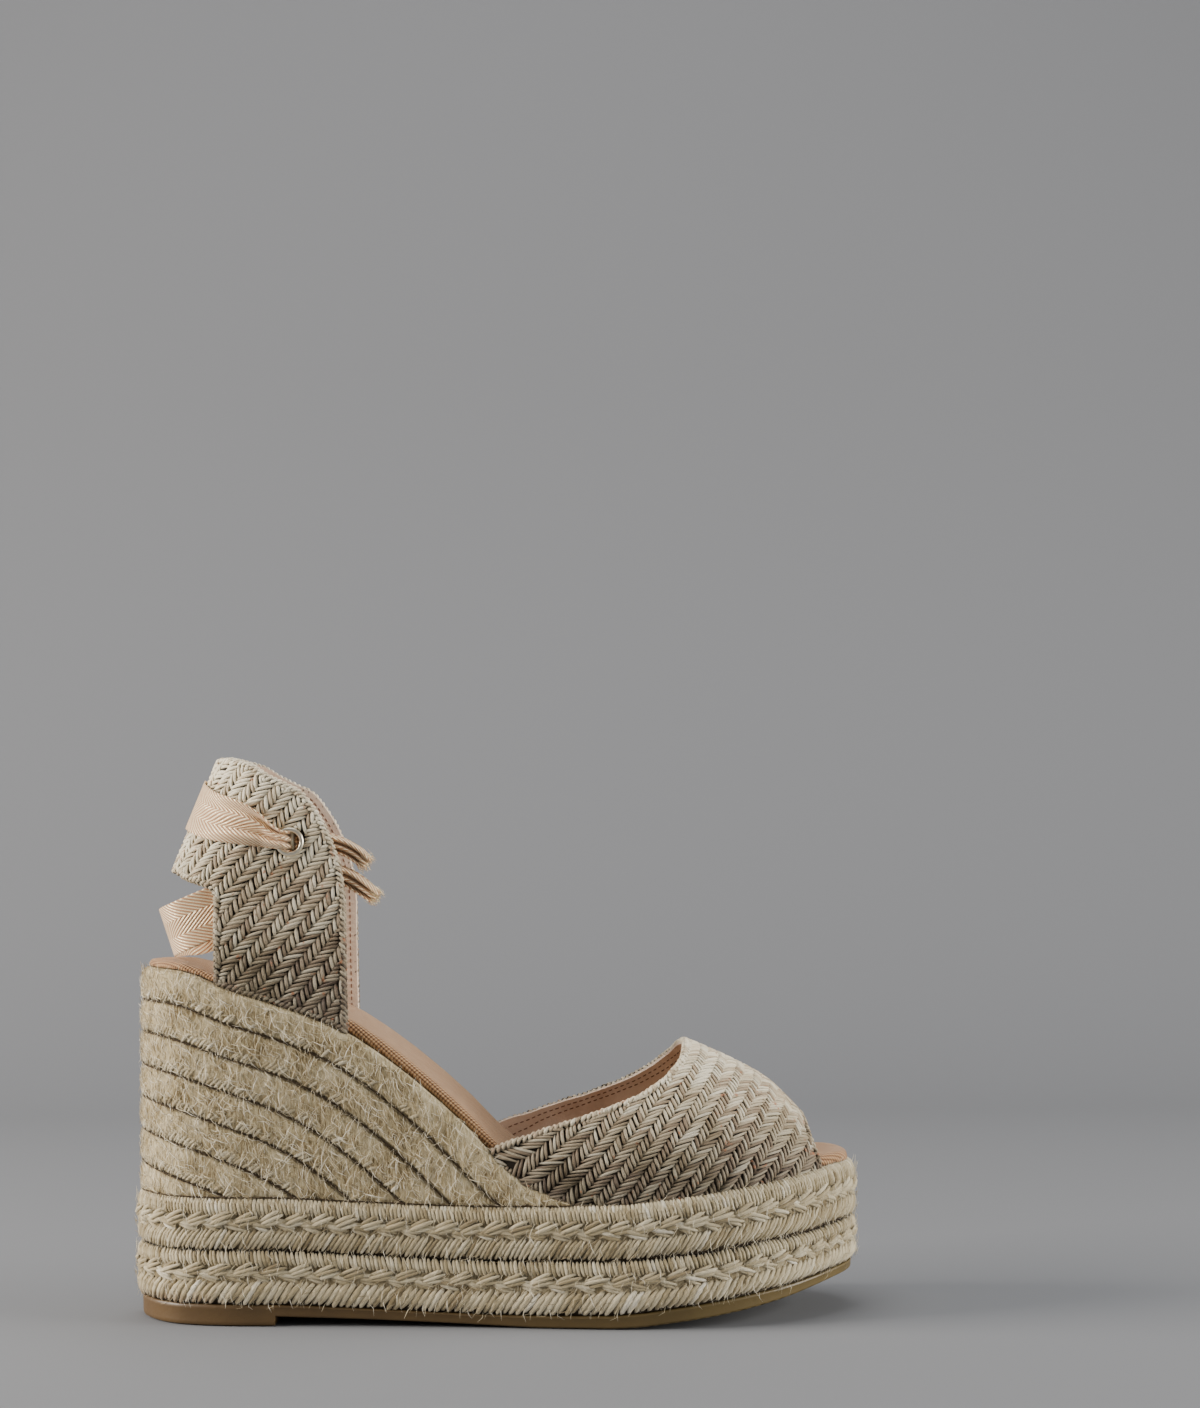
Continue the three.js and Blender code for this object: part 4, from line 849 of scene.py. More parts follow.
def ribbonTails():
    fray = newBed()
    layFray(fray, longTail)
    layFray(fray, shortTail)
    piece, path = tailPiece("ribbonTailLong", longTail)
    length = float(np.linalg.norm(np.diff(path, axis=0), axis=1).sum())
    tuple(path[0])
    [list(p) for p in path]
    finished(piece, "twill_ribbon", "ribbon_tail_long")
    piece, path = tailPiece("ribbonTailShort", shortTail)
    length = float(np.linalg.norm(np.diff(path, axis=0), axis=1).sum())
    print("ribbon end", round(length, 4))
    finished(piece, "twill_ribbon", "ribbon_tail_short")
    finished(strandPiece("ribbonFray", fray, "fibre", finish["lurexThread"], 0.2, 0.4, 6), "twill_ribbon")


ribbonTails()
print("ribbon tails made")

fineTurns = list(np.linspace(0, math.pi, 140))

# Rubber outsole: level heel block, recess under the waist, ball on the floor, sprung toe
outsoleForm = {"setback": 1.6, "rounding": 1.4, "waist": (1, 0.74, 0.38, 0)}


def waistRecess(x):
    along = (x + halfLength - sole["heelBlock"]) / (sole["waistEnd"] - sole["heelBlock"])
    return 0 if along < 0 or along > 1 else sole["waistGap"] * float(np.interp(along, (0, 0.33, 0.66, 1), outsoleForm["waist"]))


def outsolePiece():
    step = turnAt(sole["heelBlock"] / sole["length"])
    turns = sorted(fineTurns + [step - 0.0015, step + 0.0015])
    levels = ((0, 1), (0.04, 0.55), (0.12, 0.34), (0.22, 0.26), (0.76, 0.2), (0.8, 0.12), (0.9, 0.14), (0.97, 0.25), (1, 0.43))
    rings = []
    for up, inset in levels:
        def place(turn, side):
            x, y = insetPoint(turn, side, outsoleForm["setback"] + outsoleForm["rounding"] * inset)
            low = float(soleZ(x)) + waistRecess(x)
            return x, y, low * (1 - up) + (float(rubberTopZ(x)) - 0.3) * up
        rings.append(ringOf(turns, place))
    return finished(stackPiece("outsoleRubber", rings, [finish["rubber"]]), "gum_rubber", "outsole")


outsolePiece()
print("outsole made")

# Braided layers: a band of strands, a plait and a slanted band on a packed core.
# up is the share of the height, lean the degrees from upright towards the heel, sizes are in mm.
layers = {
    "platform_upper": {"low": lowerTopZ, "high": platformZ, "name": "platformUpper", "fibres": 1.0, "rows": (
        {"up": 0.98, "lean": 14, "size": (3.6, 1.3, 1.5), "every": 1.2, "out": -0.9, "tip": 1.0, "shade": 0.5},
        {"up": 0.84, "lean": 13, "size": (5.4, 1.3, 1.5), "every": 1.2, "out": 0.1, "tip": 0.15, "shade": 0.5},
        {"up": 0.23, "lean": -36, "size": (8.0, 1.5, 1.7), "every": 1.55, "out": 0.15, "tip": -0.1, "shade": 0.45}),
        "plait": {"up": 0.57, "every": 7.8, "long": 9.0, "wide": 1.5, "count": 3, "gap": 1.15, "rise": 19, "out": 0.9}},
    "platform_lower": {"low": rubberTopZ, "high": lowerTopZ, "name": "platformLower", "fibres": 1.0, "rows": (
        {"up": 0.87, "lean": 16, "size": (5.2, 1.4, 1.5), "every": 1.3, "out": 0.1, "tip": 0.15, "shade": 0.5},
        {"up": 0.225, "lean": -38, "size": (9.6, 2.2, 2.0), "every": 2.15, "out": 0.1, "tip": -0.1, "shade": 0.5}),
        "plait": {"up": 0.6, "every": 8.4, "long": 9.4, "wide": 1.4, "count": 3, "gap": 1.05, "rise": 17, "out": 0.8}},
}
layerCore = ((0, 2.4), (0.06, 1.7), (0.2, 1.1), (0.42, 1.3), (0.58, 0.8), (0.72, 1.3), (0.9, 1.1), (0.96, 1.7), (1, 2.6))


def layerPiece(node, look):
    rings, depths = [], []
    for up, inset in layerCore:
        def place(turn, side):
            x, y = insetPoint(turn, side, inset)
            return x, y, float(look["low"](x)) * (1 - up) + (float(look["high"](x)) - 0.3) * up
        rings.append(ringOf(fineTurns, place))
        # Depth marks where the packing gets its painted groove shadow
        depths += [1.0 if inset > 1.5 else 0.35] * len(rings[-1])
    points = np.array([p for ring in rings for p in ring])
    out = unit(np.concatenate([np.gradient(np.array(ring), axis=0) for ring in rings]) @ np.array([[0, -1, 0], [1, 0, 0], [0, 0, 0]]))
    hairy = np.array([1.0 if 1 <= j < len(rings) - 1 else 0.0 for j in range(len(rings)) for _ in rings[j]])
    marks = {"depth": ("FLOAT", depths), "hairy": ("FLOAT", hairy), "face": ("FLOAT_VECTOR", out),
             "grain": ("FLOAT_VECTOR", unit(np.cross(out, (0, 0, 1)) * -0.5 + np.array((0, 0, 1))))}
    del points
    core = stackPiece(look["name"] + "Core", rings, [finish["packing"]], marks=marks)
    bed = newBed()
    path = rimPath(1.0, -math.pi, math.pi)
    total = path["length"][-1]
    for row in look["rows"]:
        count = round(total / row["every"])
        at = (np.arange(count) + 0.5) * total / count + picks.uniform(-0.12, 0.12, count)
        layPathRow(bed, path, at, look, row["up"], -row["lean"], row["size"], row["out"], row["tip"], row["shade"])
    plait = look["plait"]
    count = round(total / plait["every"])
    spots = (np.arange(count) + 0.5) * total / count
    for part, (shift, rise, out) in enumerate(((0, plait["rise"], plait["out"]), (0.5, -plait["rise"] * 0.7, plait["out"] - 0.5))):
        for k in range(plait["count"]):
            side = (k - (plait["count"] - 1) / 2) * plait["gap"]
            at = spots + shift * plait["every"] + picks.uniform(-0.3, 0.3, count) - side * 0.5
            up = plait["up"] + (side + (0.7 if part == 0 else -0.9)) / sole["braid"]
            size = (plait["long"] - abs(side), plait["wide"], plait["wide"] * 1.25)
            layPathRow(bed, path, at % total, look, up, 90 - rise - side * 6, size, out - abs(side) * 0.3, 0, 0.44 + 0.12 * part)
    strands = strandPiece(look["name"] + "Braid", bed, "yarn", finish["yarn"], 0.1, 0.09, 5)
    hairs = fibrePiece(look["name"] + "Hairs", core, finish["fibre"], look["fibres"] * 380000, 4.4, 1.0, 0.3, 2.0, 3)
    finished(core, "braided_jute", node)
    finished(strands, "braided_jute")
    finished(hairs, "braided_jute")


# Strands of one row round the sole: angle is from upright, towards the walk
def layPathRow(bed, path, at, look, up, angle, size, out, tip, shade):
    count = len(at)
    xy, step, away = (alongPath(path, key, at) for key in ("xy", "step", "out"))
    low, high = look["low"](xy[:, 0]), look["high"](xy[:, 0])
    place = np.column_stack((xy + away * out, low + (high - low) * up))
    walk = np.column_stack((step, np.gradient(high) / np.maximum(np.gradient(at), 0.1) * 0))
    face = unit(np.column_stack((away, np.full(count, tip))))
    angle = math.radians(angle)
    upward = unit(np.array((0, 0, 1)) - face * face[:, 2:3])
    along = upward * math.cos(angle) + walk * math.sin(angle)
    share = ((high - low) / sole["braid"])[:, None]
    size = np.asarray(size) * (np.array((1, 0, 0)) * share + np.array((0, 1, 1)))
    layRow(bed, place, along, face, size, np.clip(shade + picks.normal(0, 0.22, count), 0, 1))


for node, look in layers.items():
    layerPiece(node, look)
print("braided layers made")


# Wedge of rope rows that run parallel to its top edge and fade out at the platform
rope = {"setback": 1.5, "relief": 1.1, "every": 1.35, "strand": (4.9, 1.2, 1.3), "lean": 57, "fibres": 800000}
ropeRow = ((0.955, 0.8), (0.9, 0.35), (0.74, 0.05), (0.5, -0.05), (0.26, 0.05), (0.1, 0.35), (0.045, 0.8), (0, 1.7))
rimX = np.linspace(-halfLength, -halfLength + sole["wedgeEnd"] * 1.15, 121)
rim = np.stack((rimX, seatZ(rimX)), axis=1)


def rimDistance(x, zs):
    start, span = rim[:-1], np.diff(rim, axis=0)
    offset = np.stack((np.full(len(zs), x), zs), axis=1)[:, None] - start
    t = np.clip((offset * span).sum(axis=2) / (span ** 2).sum(axis=1), 0, 1)
    return np.linalg.norm(offset - t[:, :, None] * span, axis=2).min(axis=1)


columnX = np.linspace(-halfLength, sole["wedgeEnd"] - halfLength, 240)
columnZ = [np.linspace(float(platformZ(x)) - 30, max(float(seatZ(x)), float(platformZ(x)) + 0.31), 200) for x in columnX]
columnDistance = [rimDistance(x, zs) for x, zs in zip(columnX, columnZ)]


# Height of a line at a distance below the wedge's top edge, at each column; deeper lines run smoother
def ropeLine(distance):
    line = np.array([np.interp(distance, d[::-1], z[::-1]) if distance < d[0] else z[0] for d, z in zip(columnDistance, columnZ)])
    reach = round(min(distance, 30) * 1.4)
    if reach > 2:
        window = np.hanning(2 * reach + 3)[1:-1]
        line = np.convolve(np.pad(line, reach, mode="reflect", reflect_type="odd"), window / window.sum(), mode="valid")
    return np.maximum(line, platformZ(columnX) + 0.3)


def wedgePiece():
    rows = math.ceil(sole["wedge"] / sole["rope"])
    levels = [(rows * sole["rope"], 1)]
    for row in range(rows - 1, -1, -1):
        levels += [((row + down) * sole["rope"], inset) for down, inset in ropeRow]
    end = turnAt(sole["wedgeEnd"] / sole["length"])
    turns = [turn for turn in fineTurns if turn < end - 0.01] + [end]
    rings, depths, hairy = [], [], []
    for distance, inset in levels:
        line = ropeLine(distance)

        def place(turn, side):
            x = edgePoint(turn, side)[0]
            z = float(np.interp(x, columnX, line))
            resting = z <= float(platformZ(x)) + 0.32
            x, y = insetPoint(turn, side, rope["setback"] + rope["relief"] * (1 if resting else inset))
            lump = noise.noise(Vector((x, y, z)) * 0.16) * 0.5
            return x, y * (1 + lump * 0.012), z
        rings.append(ringOf(turns, place))
        # Depth marks where the packing gets its painted groove shadow
        depths += [0.0 if distance < 0.3 else 1.0 if inset > 1.2 else (0.3 if inset > 0.6 else 0)] * len(rings[-1])
        hairy += [0.0 if inset > 0.7 or distance < 0.3 or distance > rows * sole["rope"] - 1 else 1.0] * len(rings[-1])
    steps = np.concatenate([np.gradient(np.array(ring), axis=0) for ring in rings])
    steps[np.abs(steps).sum(axis=1) < 1e-6] = (1, 0, 0)
    out = unit(np.cross(steps, (0, 0, 1)))
    marks = {"depth": ("FLOAT", depths), "hairy": ("FLOAT", hairy), "face": ("FLOAT_VECTOR", out),
             "grain": ("FLOAT_VECTOR", unit(np.array((0, 0, 1)) - unit(steps) * 0.45))}
    core = stackPiece("wedgeCore", rings, [finish["packing"]], marks=marks)
    bed = newBed()
    path = rimPath(rope["setback"] + 0.3, -end, end)
    total = path["length"][-1]
    heel = np.interp(0, np.linspace(-end, end, 900), path["length"])
    for row in range(rows):
        for down, lean, size, keep, out in ((0.79, rope["lean"], rope["strand"], 0.95, 0.0), (0.42, 118, (5.2, 1.0, 1.0), 0.4, -0.3)):
            at = np.arange(rope["every"] / 2, total, rope["every"]) + picks.uniform(-0.2, 0.2, len(np.arange(rope["every"] / 2, total, rope["every"])))
            fade = np.clip(1.25 - np.abs(at - heel) / 95, 0.12, 1)
            at = at[picks.random(len(at)) < fade * keep]
            xy, step, away = (alongPath(path, key, at) for key in ("xy", "step", "out"))
            z = np.interp(xy[:, 0], columnX, ropeLine((row + down) * sole["rope"]))
            free = z > platformZ(xy[:, 0]) + 1.6
            slope = np.gradient(z) / np.maximum(np.gradient(at), 0.2)
            walk = unit(np.column_stack((step, np.clip(slope, -1.2, 1.2))))
            face = np.column_stack((away, np.zeros(len(at))))
            along = turnedAbout(walk, face, math.radians(lean))
            place = np.column_stack((xy + away * out, z))
            shade = np.clip(picks.normal(0.5, 0.22, len(at)), 0, 1)
            layRow(bed, place[free], along[free], face[free], size, shade[free])
    # Painted shadow: thin dark cords laid along each groove between rope rows and along the wedge's foot on the
    # platform
    grooveShadowCords = newBed()
    at = np.arange(1.2, total - 1, 2.0)
    xy, step, away = (alongPath(path, key, at) for key in ("xy", "step", "out"))
    for row in range(rows):
        resting = platformZ(xy[:, 0]) + 0.5
        z = np.interp(xy[:, 0], columnX, ropeLine(row * sole["rope"])) if row else resting
        free = z >= resting - 0.01
        walk = unit(np.column_stack((step, np.gradient(z) / 2.0)))
        face = np.column_stack((away, np.zeros(len(at))))
        place = np.column_stack((xy + away * (0.05 if row else 0.3), z))
        layRow(grooveShadowCords, place[free], walk[free], face[free], (3.4, 0.5, 0.5), 0.5)
    strands = strandPiece("wedgeRopes", bed, "yarn", finish["ropeYarn"], 0.16, 0.2, 9)
    finished(strandPiece("wedgeSeams", grooveShadowCords, "stitch", finish["grooveShadowCord"], 0.1, 0.05, 2), "jute_rope")
    hairs = fibrePiece("wedgeHairs", core, finish["fibre"], rope["fibres"], 4.8, 1.1, 0.18, 0.75, 4)
    finished(core, "jute_rope", "wedge")
    finished(strands, "jute_rope")
    finished(hairs, "jute_rope")


wedgePiece()
print("wedge made")

# Sizes of the upper, as in the solids
upper = {"wall": 2, "setback": 2.6, "vampHeight": 47.5, "vampFullness": 0.86, "vampRear": 114.5, "vampLength": 106.5,
         "vampStrip": 8.8, "vampLean": 50, "quarterFront": 69.7, "quarterHeight": 66.7, "quarterLength": 43.4, "strapDepth": 26,
         "strapBack": 11.9, "strapUp": 31.5, "strapLean": 0.41, "seatBlend": 44, "quarterStrip": 9.3, "quarterLean": 65,
         "eyeletAlong": 51.6, "eyeletUp": 40}


# Canvas-covered insole with a rounded rim
def insolePiece():
    profile = ((0, 0.11), (0.15, 0.02), (0.3, 0), (0.5, 0.03), (0.7, 0.09), (0.84, 0.2), (0.93, 0.38), (0.98, 0.65), (1, 1), (1.0, 1.6))
    rings, wear = [], []
    for up, inset in profile:
        def place(turn, side):
            setback = 5.2 * flow(insoleForm, "setback", (1 - math.cos(turn)) / 2)
            x, y = insetPoint(turn, side, setback + 4.5 * inset)
            return x, y, float(seatZ(x)) + 0.3 + sole["insole"] * flow(insoleForm, "height", (x + halfLength) / sole["length"]) * up
        rings.append(ringOf(fineTurns, place))
        # Share of that blend, growing towards the top of the rim
        wear += [min(max((up - 0.8) * 4, 0), 0.6)] * len(rings[-1])
    piece = stackPiece("insoleCover", rings, [finish["canvas"]], marks={"wear": ("FLOAT", wear)}, sharp=60)
    finished(piece, "insole_canvas", "insole")


insolePiece()
print("insole made")

ridge = {"at": (0.48, 0.6, 0.7, 0.76, 0.79, 0.843, 0.876, 0.902, 0.927, 0.95),
         "height": (1.75, 1.4, 1.11, 0.975, 0.895, 0.735, 0.615, 0.48, 0.335, 0.2)}
vampEdge = {
    "around": (0, 0.05, 0.1, 0.15, 0.2, 0.27, 0.36, 0.5, 0.64, 0.73, 0.8, 0.85, 0.9, 0.95, 1),
    "throat": (0, 0.1, 0.225, 0.35, 0.45, 0.53, 0.575, 0.588, 0.565, 0.515, 0.435, 0.34, 0.215, 0.09, -0.01),
    "toe": (1, 1, 0.996, 0.985, 0.975, 0.965, 0.957, 0.953, 0.957, 0.965, 0.978, 0.988, 0.997, 1, 1),
}
quarterEdge = {"up": (0, 0.31, 0.465, 0.58, 0.673, 0.746, 0.83, 0.877, 0.906, 0.943, 0.98, 1),
               "back": (0, 0.014, 0.018, 0.044, 0.1, 0.16, 0.265, 0.345, 0.46, 0.606, 0.726, 0.87)}
quarterRear = {"up": (0, 0.18, 0.49, 0.515, 0.53, 0.552, 0.572), "back": (0.942, 0.965, 0.972, 0.99, 1.03, 1.16, 1.27)}
ankle = {-1: {"side": "lateral", "reach": 24.6, "spread": 0.05}, 1: {"side": "medial", "reach": 24, "spread": 0.015}}


# Function read from an even grid of points, for many places at once
def sampled(pointAt, us, vs):
    grid = np.array([[pointAt(u, v) for v in vs] for u in us])

    def at(u, v):
        u, v = np.broadcast_arrays(np.asarray(u, dtype=float), np.asarray(v, dtype=float))
        i = np.clip((u - us[0]) / (us[1] - us[0]), 0, len(us) - 1.001)
        j = np.clip((v - vs[0]) / (vs[1] - vs[0]), 0, len(vs) - 1.001)
        a, b = (i % 1)[..., None], (j % 1)[..., None]
        i, j = i.astype(int), j.astype(int)
        return (grid[i, j] * (1 - a) + grid[i + 1, j] * a) * (1 - b) + (grid[i, j + 1] * (1 - a) + grid[i + 1, j + 1] * a) * b
    return at


# Vamp: an arch over the forefoot at each station, from the lateral to the medial edge of the seat
def vampPoint(s, around):
    turn = turnAt(s / sole["length"])
    lateral, medial = insetPoint(turn, "lateral", upper["setback"]), insetPoint(turn, "medial", upper["setback"])
    angle = math.pi * min(max(around, 0), 1)
    below = max(-around, around - 1, 0) * 40
    share = math.copysign(abs(math.cos(angle)) ** upper["vampFullness"], math.cos(angle))
    x = (lateral[0] * (1 + share) + medial[0] * (1 - share)) / 2
    y = (lateral[1] * (1 + share) + medial[1] * (1 - share)) / 2
    base = float(seatZ(x)) + sole["gap"]
    rise = float(platformZ(s - halfLength)) + upper["vampHeight"] * flow(ridge, "height", s / sole["length"]) - base
    return x, y, base + rise * max(math.sin(angle), 0) ** upper["vampFullness"] - below


vampAt = sampled(vampPoint, np.linspace(108, 226, 119), np.linspace(-0.12, 1.12, 187))
heelSeatZ = float(seatZ(-halfLength))
quarterFrontX = upper["quarterFront"] - halfLength
quarterBaseZ = float(seatZ(quarterFrontX)) + sole["gap"]
quarterRise = heelSeatZ + upper["quarterHeight"] - quarterBaseZ
eyeletX, eyeletZ = upper["eyeletAlong"] - halfLength, heelSeatZ + upper["eyeletUp"]


def strapCentre(z):
    return upper["strapBack"] - halfLength + upper["strapLean"] * (z - heelSeatZ - upper["strapUp"]) + upper["strapDepth"]


def arcLength(form):
    return math.pi / 2 * math.sqrt((upper["strapDepth"] ** 2 + form["reach"] ** 2) / 2)


# Heel quarter: a band round the ankle, told by its height and the way round from centre back
def quarterPoint(way, z):
    sign = -1 if way < 0 else 1
    form = ankle[sign]
    arc = arcLength(form)
    past = max(abs(way) - arc, 0)
    angle = math.pi / 2 * min(abs(way) / arc, 1)
    x = strapCentre(z) + (past if past > 0 else -upper["strapDepth"] * math.cos(angle))
    reach = form["reach"] * math.sin(angle) + form["spread"] * past
    seat = abs(insetPoint(turnAt((x + halfLength) / sole["length"]), form["side"], upper["setback"])[1])
    up = min(max((z - quarterBaseZ) / upper["seatBlend"], 0), 1)
    drawn = up * up * (3 - 2 * up)
    return x, sign * (seat * (1 - drawn) + reach * drawn), z


def wayAt(x, z, sign):
    arc = arcLength(ankle[sign])
    ahead = x - strapCentre(z)
    return arc + ahead if ahead >= 0 else arc * math.acos(min(-ahead / upper["strapDepth"], 1)) / (math.pi / 2)


def rearWay(z, sign):
    up = (z - quarterBaseZ) / quarterRise
    if up >= quarterRear["up"][-1]:
        return 0.0
    edge = quarterFrontX - upper["quarterLength"] * flow(quarterRear, "back", up, "up")
    seatX = float(np.interp(z - sole["gap"], seatZ(rimX)[::-1], rimX[::-1]))
    return wayAt(max(edge, min(seatX, quarterFrontX)), z, sign)


def frontWay(z, sign):
    up = (z - quarterBaseZ) / quarterRise
    return wayAt(quarterFrontX - upper["quarterLength"] * flow(quarterEdge, "back", up, "up"), z, sign)


quarterTable = sampled(quarterPoint, np.linspace(-98, 98, 197), np.linspace(quarterBaseZ - 8, quarterBaseZ + quarterRise + 8, 103))


# Outward normals of a sampled surface; turned is -1 where its two directions run the other way round
def normalsOf(at, u, v, du, dv, turned=1):
    return unit(np.cross(at(u + du, v) - at(u - du, v), at(u, v + dv) - at(u, v - dv))) * turned


def woven(name, points, faces, sorts, finishes, uvs=None):
    piece = meshPiece(name, inMetres(points), faces, uvs, finishes, sorts)
    weld(piece.data)
    piece.data.set_sharp_from_angle(angle=math.radians(50))
    return piece


# Lays strands along one spine of the weave, each cut where it would pass the edge
def layWeave(bed, at, uv, spine, spacing, look, kind, inside, turned, liftOf):
    length = np.concatenate(([0], np.cumsum(np.linalg.norm(np.diff(spine, axis=0), axis=1))))
    spots = np.arange((0.25 + 0.5 * kind) * look["pitch"], length[-1], look["pitch"])
    spots = spots + picks.uniform(-0.1, 0.1, len(spots)) * look["pitch"]
    u, v = np.interp(spots, length, uv[0]), np.interp(spots, length, uv[1])
    stepV = 0.3 if turned < 0 else 0.004
    normal = normalsOf(at, u, v, 0.3, stepV, turned)
    course = np.gradient(spine, axis=0)
    tangent = unit(np.stack([np.interp(spots, length, course[:, axis]) for axis in range(3)], axis=1))
    angle = math.radians(look["angles"][kind]) * (1 if turned > 0 or u.mean() < 0 else -1)
    along = turnedAbout(tangent, normal, angle)
    long = np.interp(spots, length, spacing) / abs(math.sin(angle)) * look["reach"]
    alongU = (at(u + 0.3, v) - at(u - 0.3, v)) / 0.6
    alongV = (at(u, v + stepV) - at(u, v - stepV)) / (2 * stepV)
    uu, uw, ww = (alongU ** 2).sum(axis=1), (alongU * alongV).sum(axis=1), (alongV ** 2).sum(axis=1)
    pu, pw = (along * alongU).sum(axis=1), (along * alongV).sum(axis=1)
    spread = np.maximum(uu * ww - uw * uw, 1e-9)
    du, dv = (pu * ww - pw * uw) / spread, (pw * uu - pu * uw) / spread
    shares = np.linspace(-1, 1, 13)
    reach = shares * long[:, None] / 2
    free = inside(u[:, None] + du[:, None] * reach, v[:, None] + dv[:, None] * reach)
    low = np.where(free, reach, 1e3).min(axis=1)
    high = np.where(free, reach, -1e3).max(axis=1)
    kept = high - low > 1.3
    if not kept.any():
        return
    middle = ((low + high) / 2)[kept]
    u, v = u[kept] + du[kept] * middle, v[kept] + dv[kept] * middle
    normal = normalsOf(at, u, v, 0.3, stepV, turned)
    size = np.column_stack(((high - low)[kept], np.full(len(u), look["wide"][kind]), np.full(len(u), look["thick"])))
    place = at(u, v) + normal * look["lift"]
    shade = np.clip(picks.normal(0.5, 0.32, len(u)), 0, 1)
    # The last value is the strip's height share, which sets the raffia's painted light and shade
    layRow(bed, place, along[kept], normal, size, shade, np.clip(liftOf(place[:, 2]), 0, 1))


weave = {
    "vamp": {"pitch": 1.7, "angles": (-33, 52), "wide": (1.06, 1.22), "thick": 1.3, "lift": 0.12, "reach": 1.2, "edge": 0.5},
    "quarter": {"pitch": 1.95, "angles": (-34, 47), "wide": (1.24, 1.38), "thick": 1.5, "lift": 0.12, "reach": 1.2, "edge": 0.5},
}


def vampPieces(look):
    arounds = np.linspace(0, 1, 97)
    throat = upper["vampRear"] + upper["vampLength"] * np.array([flow(vampEdge, "throat", a, "around") for a in arounds])
    toe = upper["vampRear"] + upper["vampLength"] * np.array([flow(vampEdge, "toe", a, "around") for a in arounds])
    share = np.linspace(0, 1, 64)
    s = throat[:, None] + (toe - throat)[:, None] * share
    around = np.broadcast_to(arounds[:, None], s.shape)
    form, normal = vampAt(s, around), normalsOf(vampAt, s, around, 0.3, 0.004)
    points, faces, sorts = shellForm(form - normal * 0.3, form - normal * upper["wall"])
    ground = woven("vampGround", points, faces, sorts, [finish["under"], finish["lining"]])
    bed = newBed()
    half = upper["vampStrip"] / 2
    fine = np.linspace(-0.1, 1.1, 500)
    edges = [np.interp(fine, arounds, line) for line in (throat, toe)]

    def inside(s, around):
        above = np.interp(around, arounds, throat) + look["edge"]
        below = np.interp(around, arounds, toe) - look["edge"]
        return (s > above) & (s < below) & (around > -0.05) & (around < 1.05)

    lean = math.tan(math.radians(upper["vampLean"]))
    for k in range(-14, 30):
        start = upper["vampRear"] + (k + 0.5) * half
        line = np.full(len(fine), start)
        for _ in range(12):
            p = vampAt(np.clip(line, 109, 225), fine)
            line = (line + start + (p[:, 2] - seatZ(p[:, 0])) / lean) / 2
        if not ((line > edges[0] - 4) & (line < edges[1] + 4)).any():
            continue
        spine = vampAt(np.clip(line, 109, 225), fine)
        beside = vampAt(np.clip(line + 0.5, 109, 225), fine) - vampAt(np.clip(line - 0.5, 109, 225), fine)
        spacing = np.linalg.norm(np.cross(beside, unit(np.gradient(spine, axis=0))), axis=1) * half
        # The lambda gives the height share for the raffia's painted light and shade
        layWeave(bed, vampAt, (line, fine), spine, spacing, look, k % 2, inside, 1, lambda z: (z - 42) / 44)
    for column, inward in ((0, 1), (-1, -2)):
        layEdge(bed, form[:, column], normal[:, column], unit(form[:, column] - form[:, inward]), look, lambda z: (z - 42) / 44)
    finished(ground, "woven_raffia", "vamp")
    finished(strandPiece("vampWeave", bed, "raffia", finish["raffia"], 0.1, 0.1, 21), "woven_raffia")
    stitches = newBed()
    for down in (2.2, 4.6):
        layStitches(stitches, vampAt(throat + down, arounds) - normalsOf(vampAt, throat + down, arounds, 0.3, 0.004) * (upper["wall"] + 0.05),
                    -normalsOf(vampAt, throat + down, arounds, 0.3, 0.004))
    finished(strandPiece("vampStitches", stitches, "stitch", finish["thread"], 0.05, 0.03, 3), "upper_lining")



# Evenly spaced places on a line of points, with values carried along
def spaced(line, every, *carried):
    length = np.concatenate(([0], np.cumsum(np.linalg.norm(np.diff(line, axis=0), axis=1))))
    spots = np.arange(every / 2, length[-1], every)
    tangent = unit(np.gradient(line, axis=0))
    return [np.stack([np.interp(spots, length, values[:, axis]) for axis in range(3)], axis=1) for values in (line, tangent, *carried)]


# Folded edge: slanted strands just inside it and short ones over its rim
def layEdge(bed, line, normal, push, look, liftOf):
    place, tangent, face, away = spaced(line, 1.75, normal, push)
    along = turnedAbout(unit(tangent), unit(face), math.radians(38))
    shade = np.clip(picks.normal(0.5, 0.22, len(place)), 0, 1)
    lift = np.clip(liftOf(place[:, 2]), 0, 1)
    layRow(bed, place - away * 0.75 + face * 0.2, along, unit(face + away * 0.35), (3.3, 1.35, 1.3), shade, lift)
    over = unit(unit(face) + unit(tangent) * 0.6)
    layRow(bed, place + away * 0.15 - face * 0.65, over, unit(away + face * 0.3), (2.9, 1.4, 1.1), shade[::-1] * 0.8, lift)


def layStitches(bed, line, normal, every=2.1):
    place, tangent, face = spaced(line, every, normal)
    layRow(bed, place, unit(tangent), unit(face), (1.6, 0.42, 0.42), 0.5)


vampPieces(weave["vamp"])
print("vamp made")


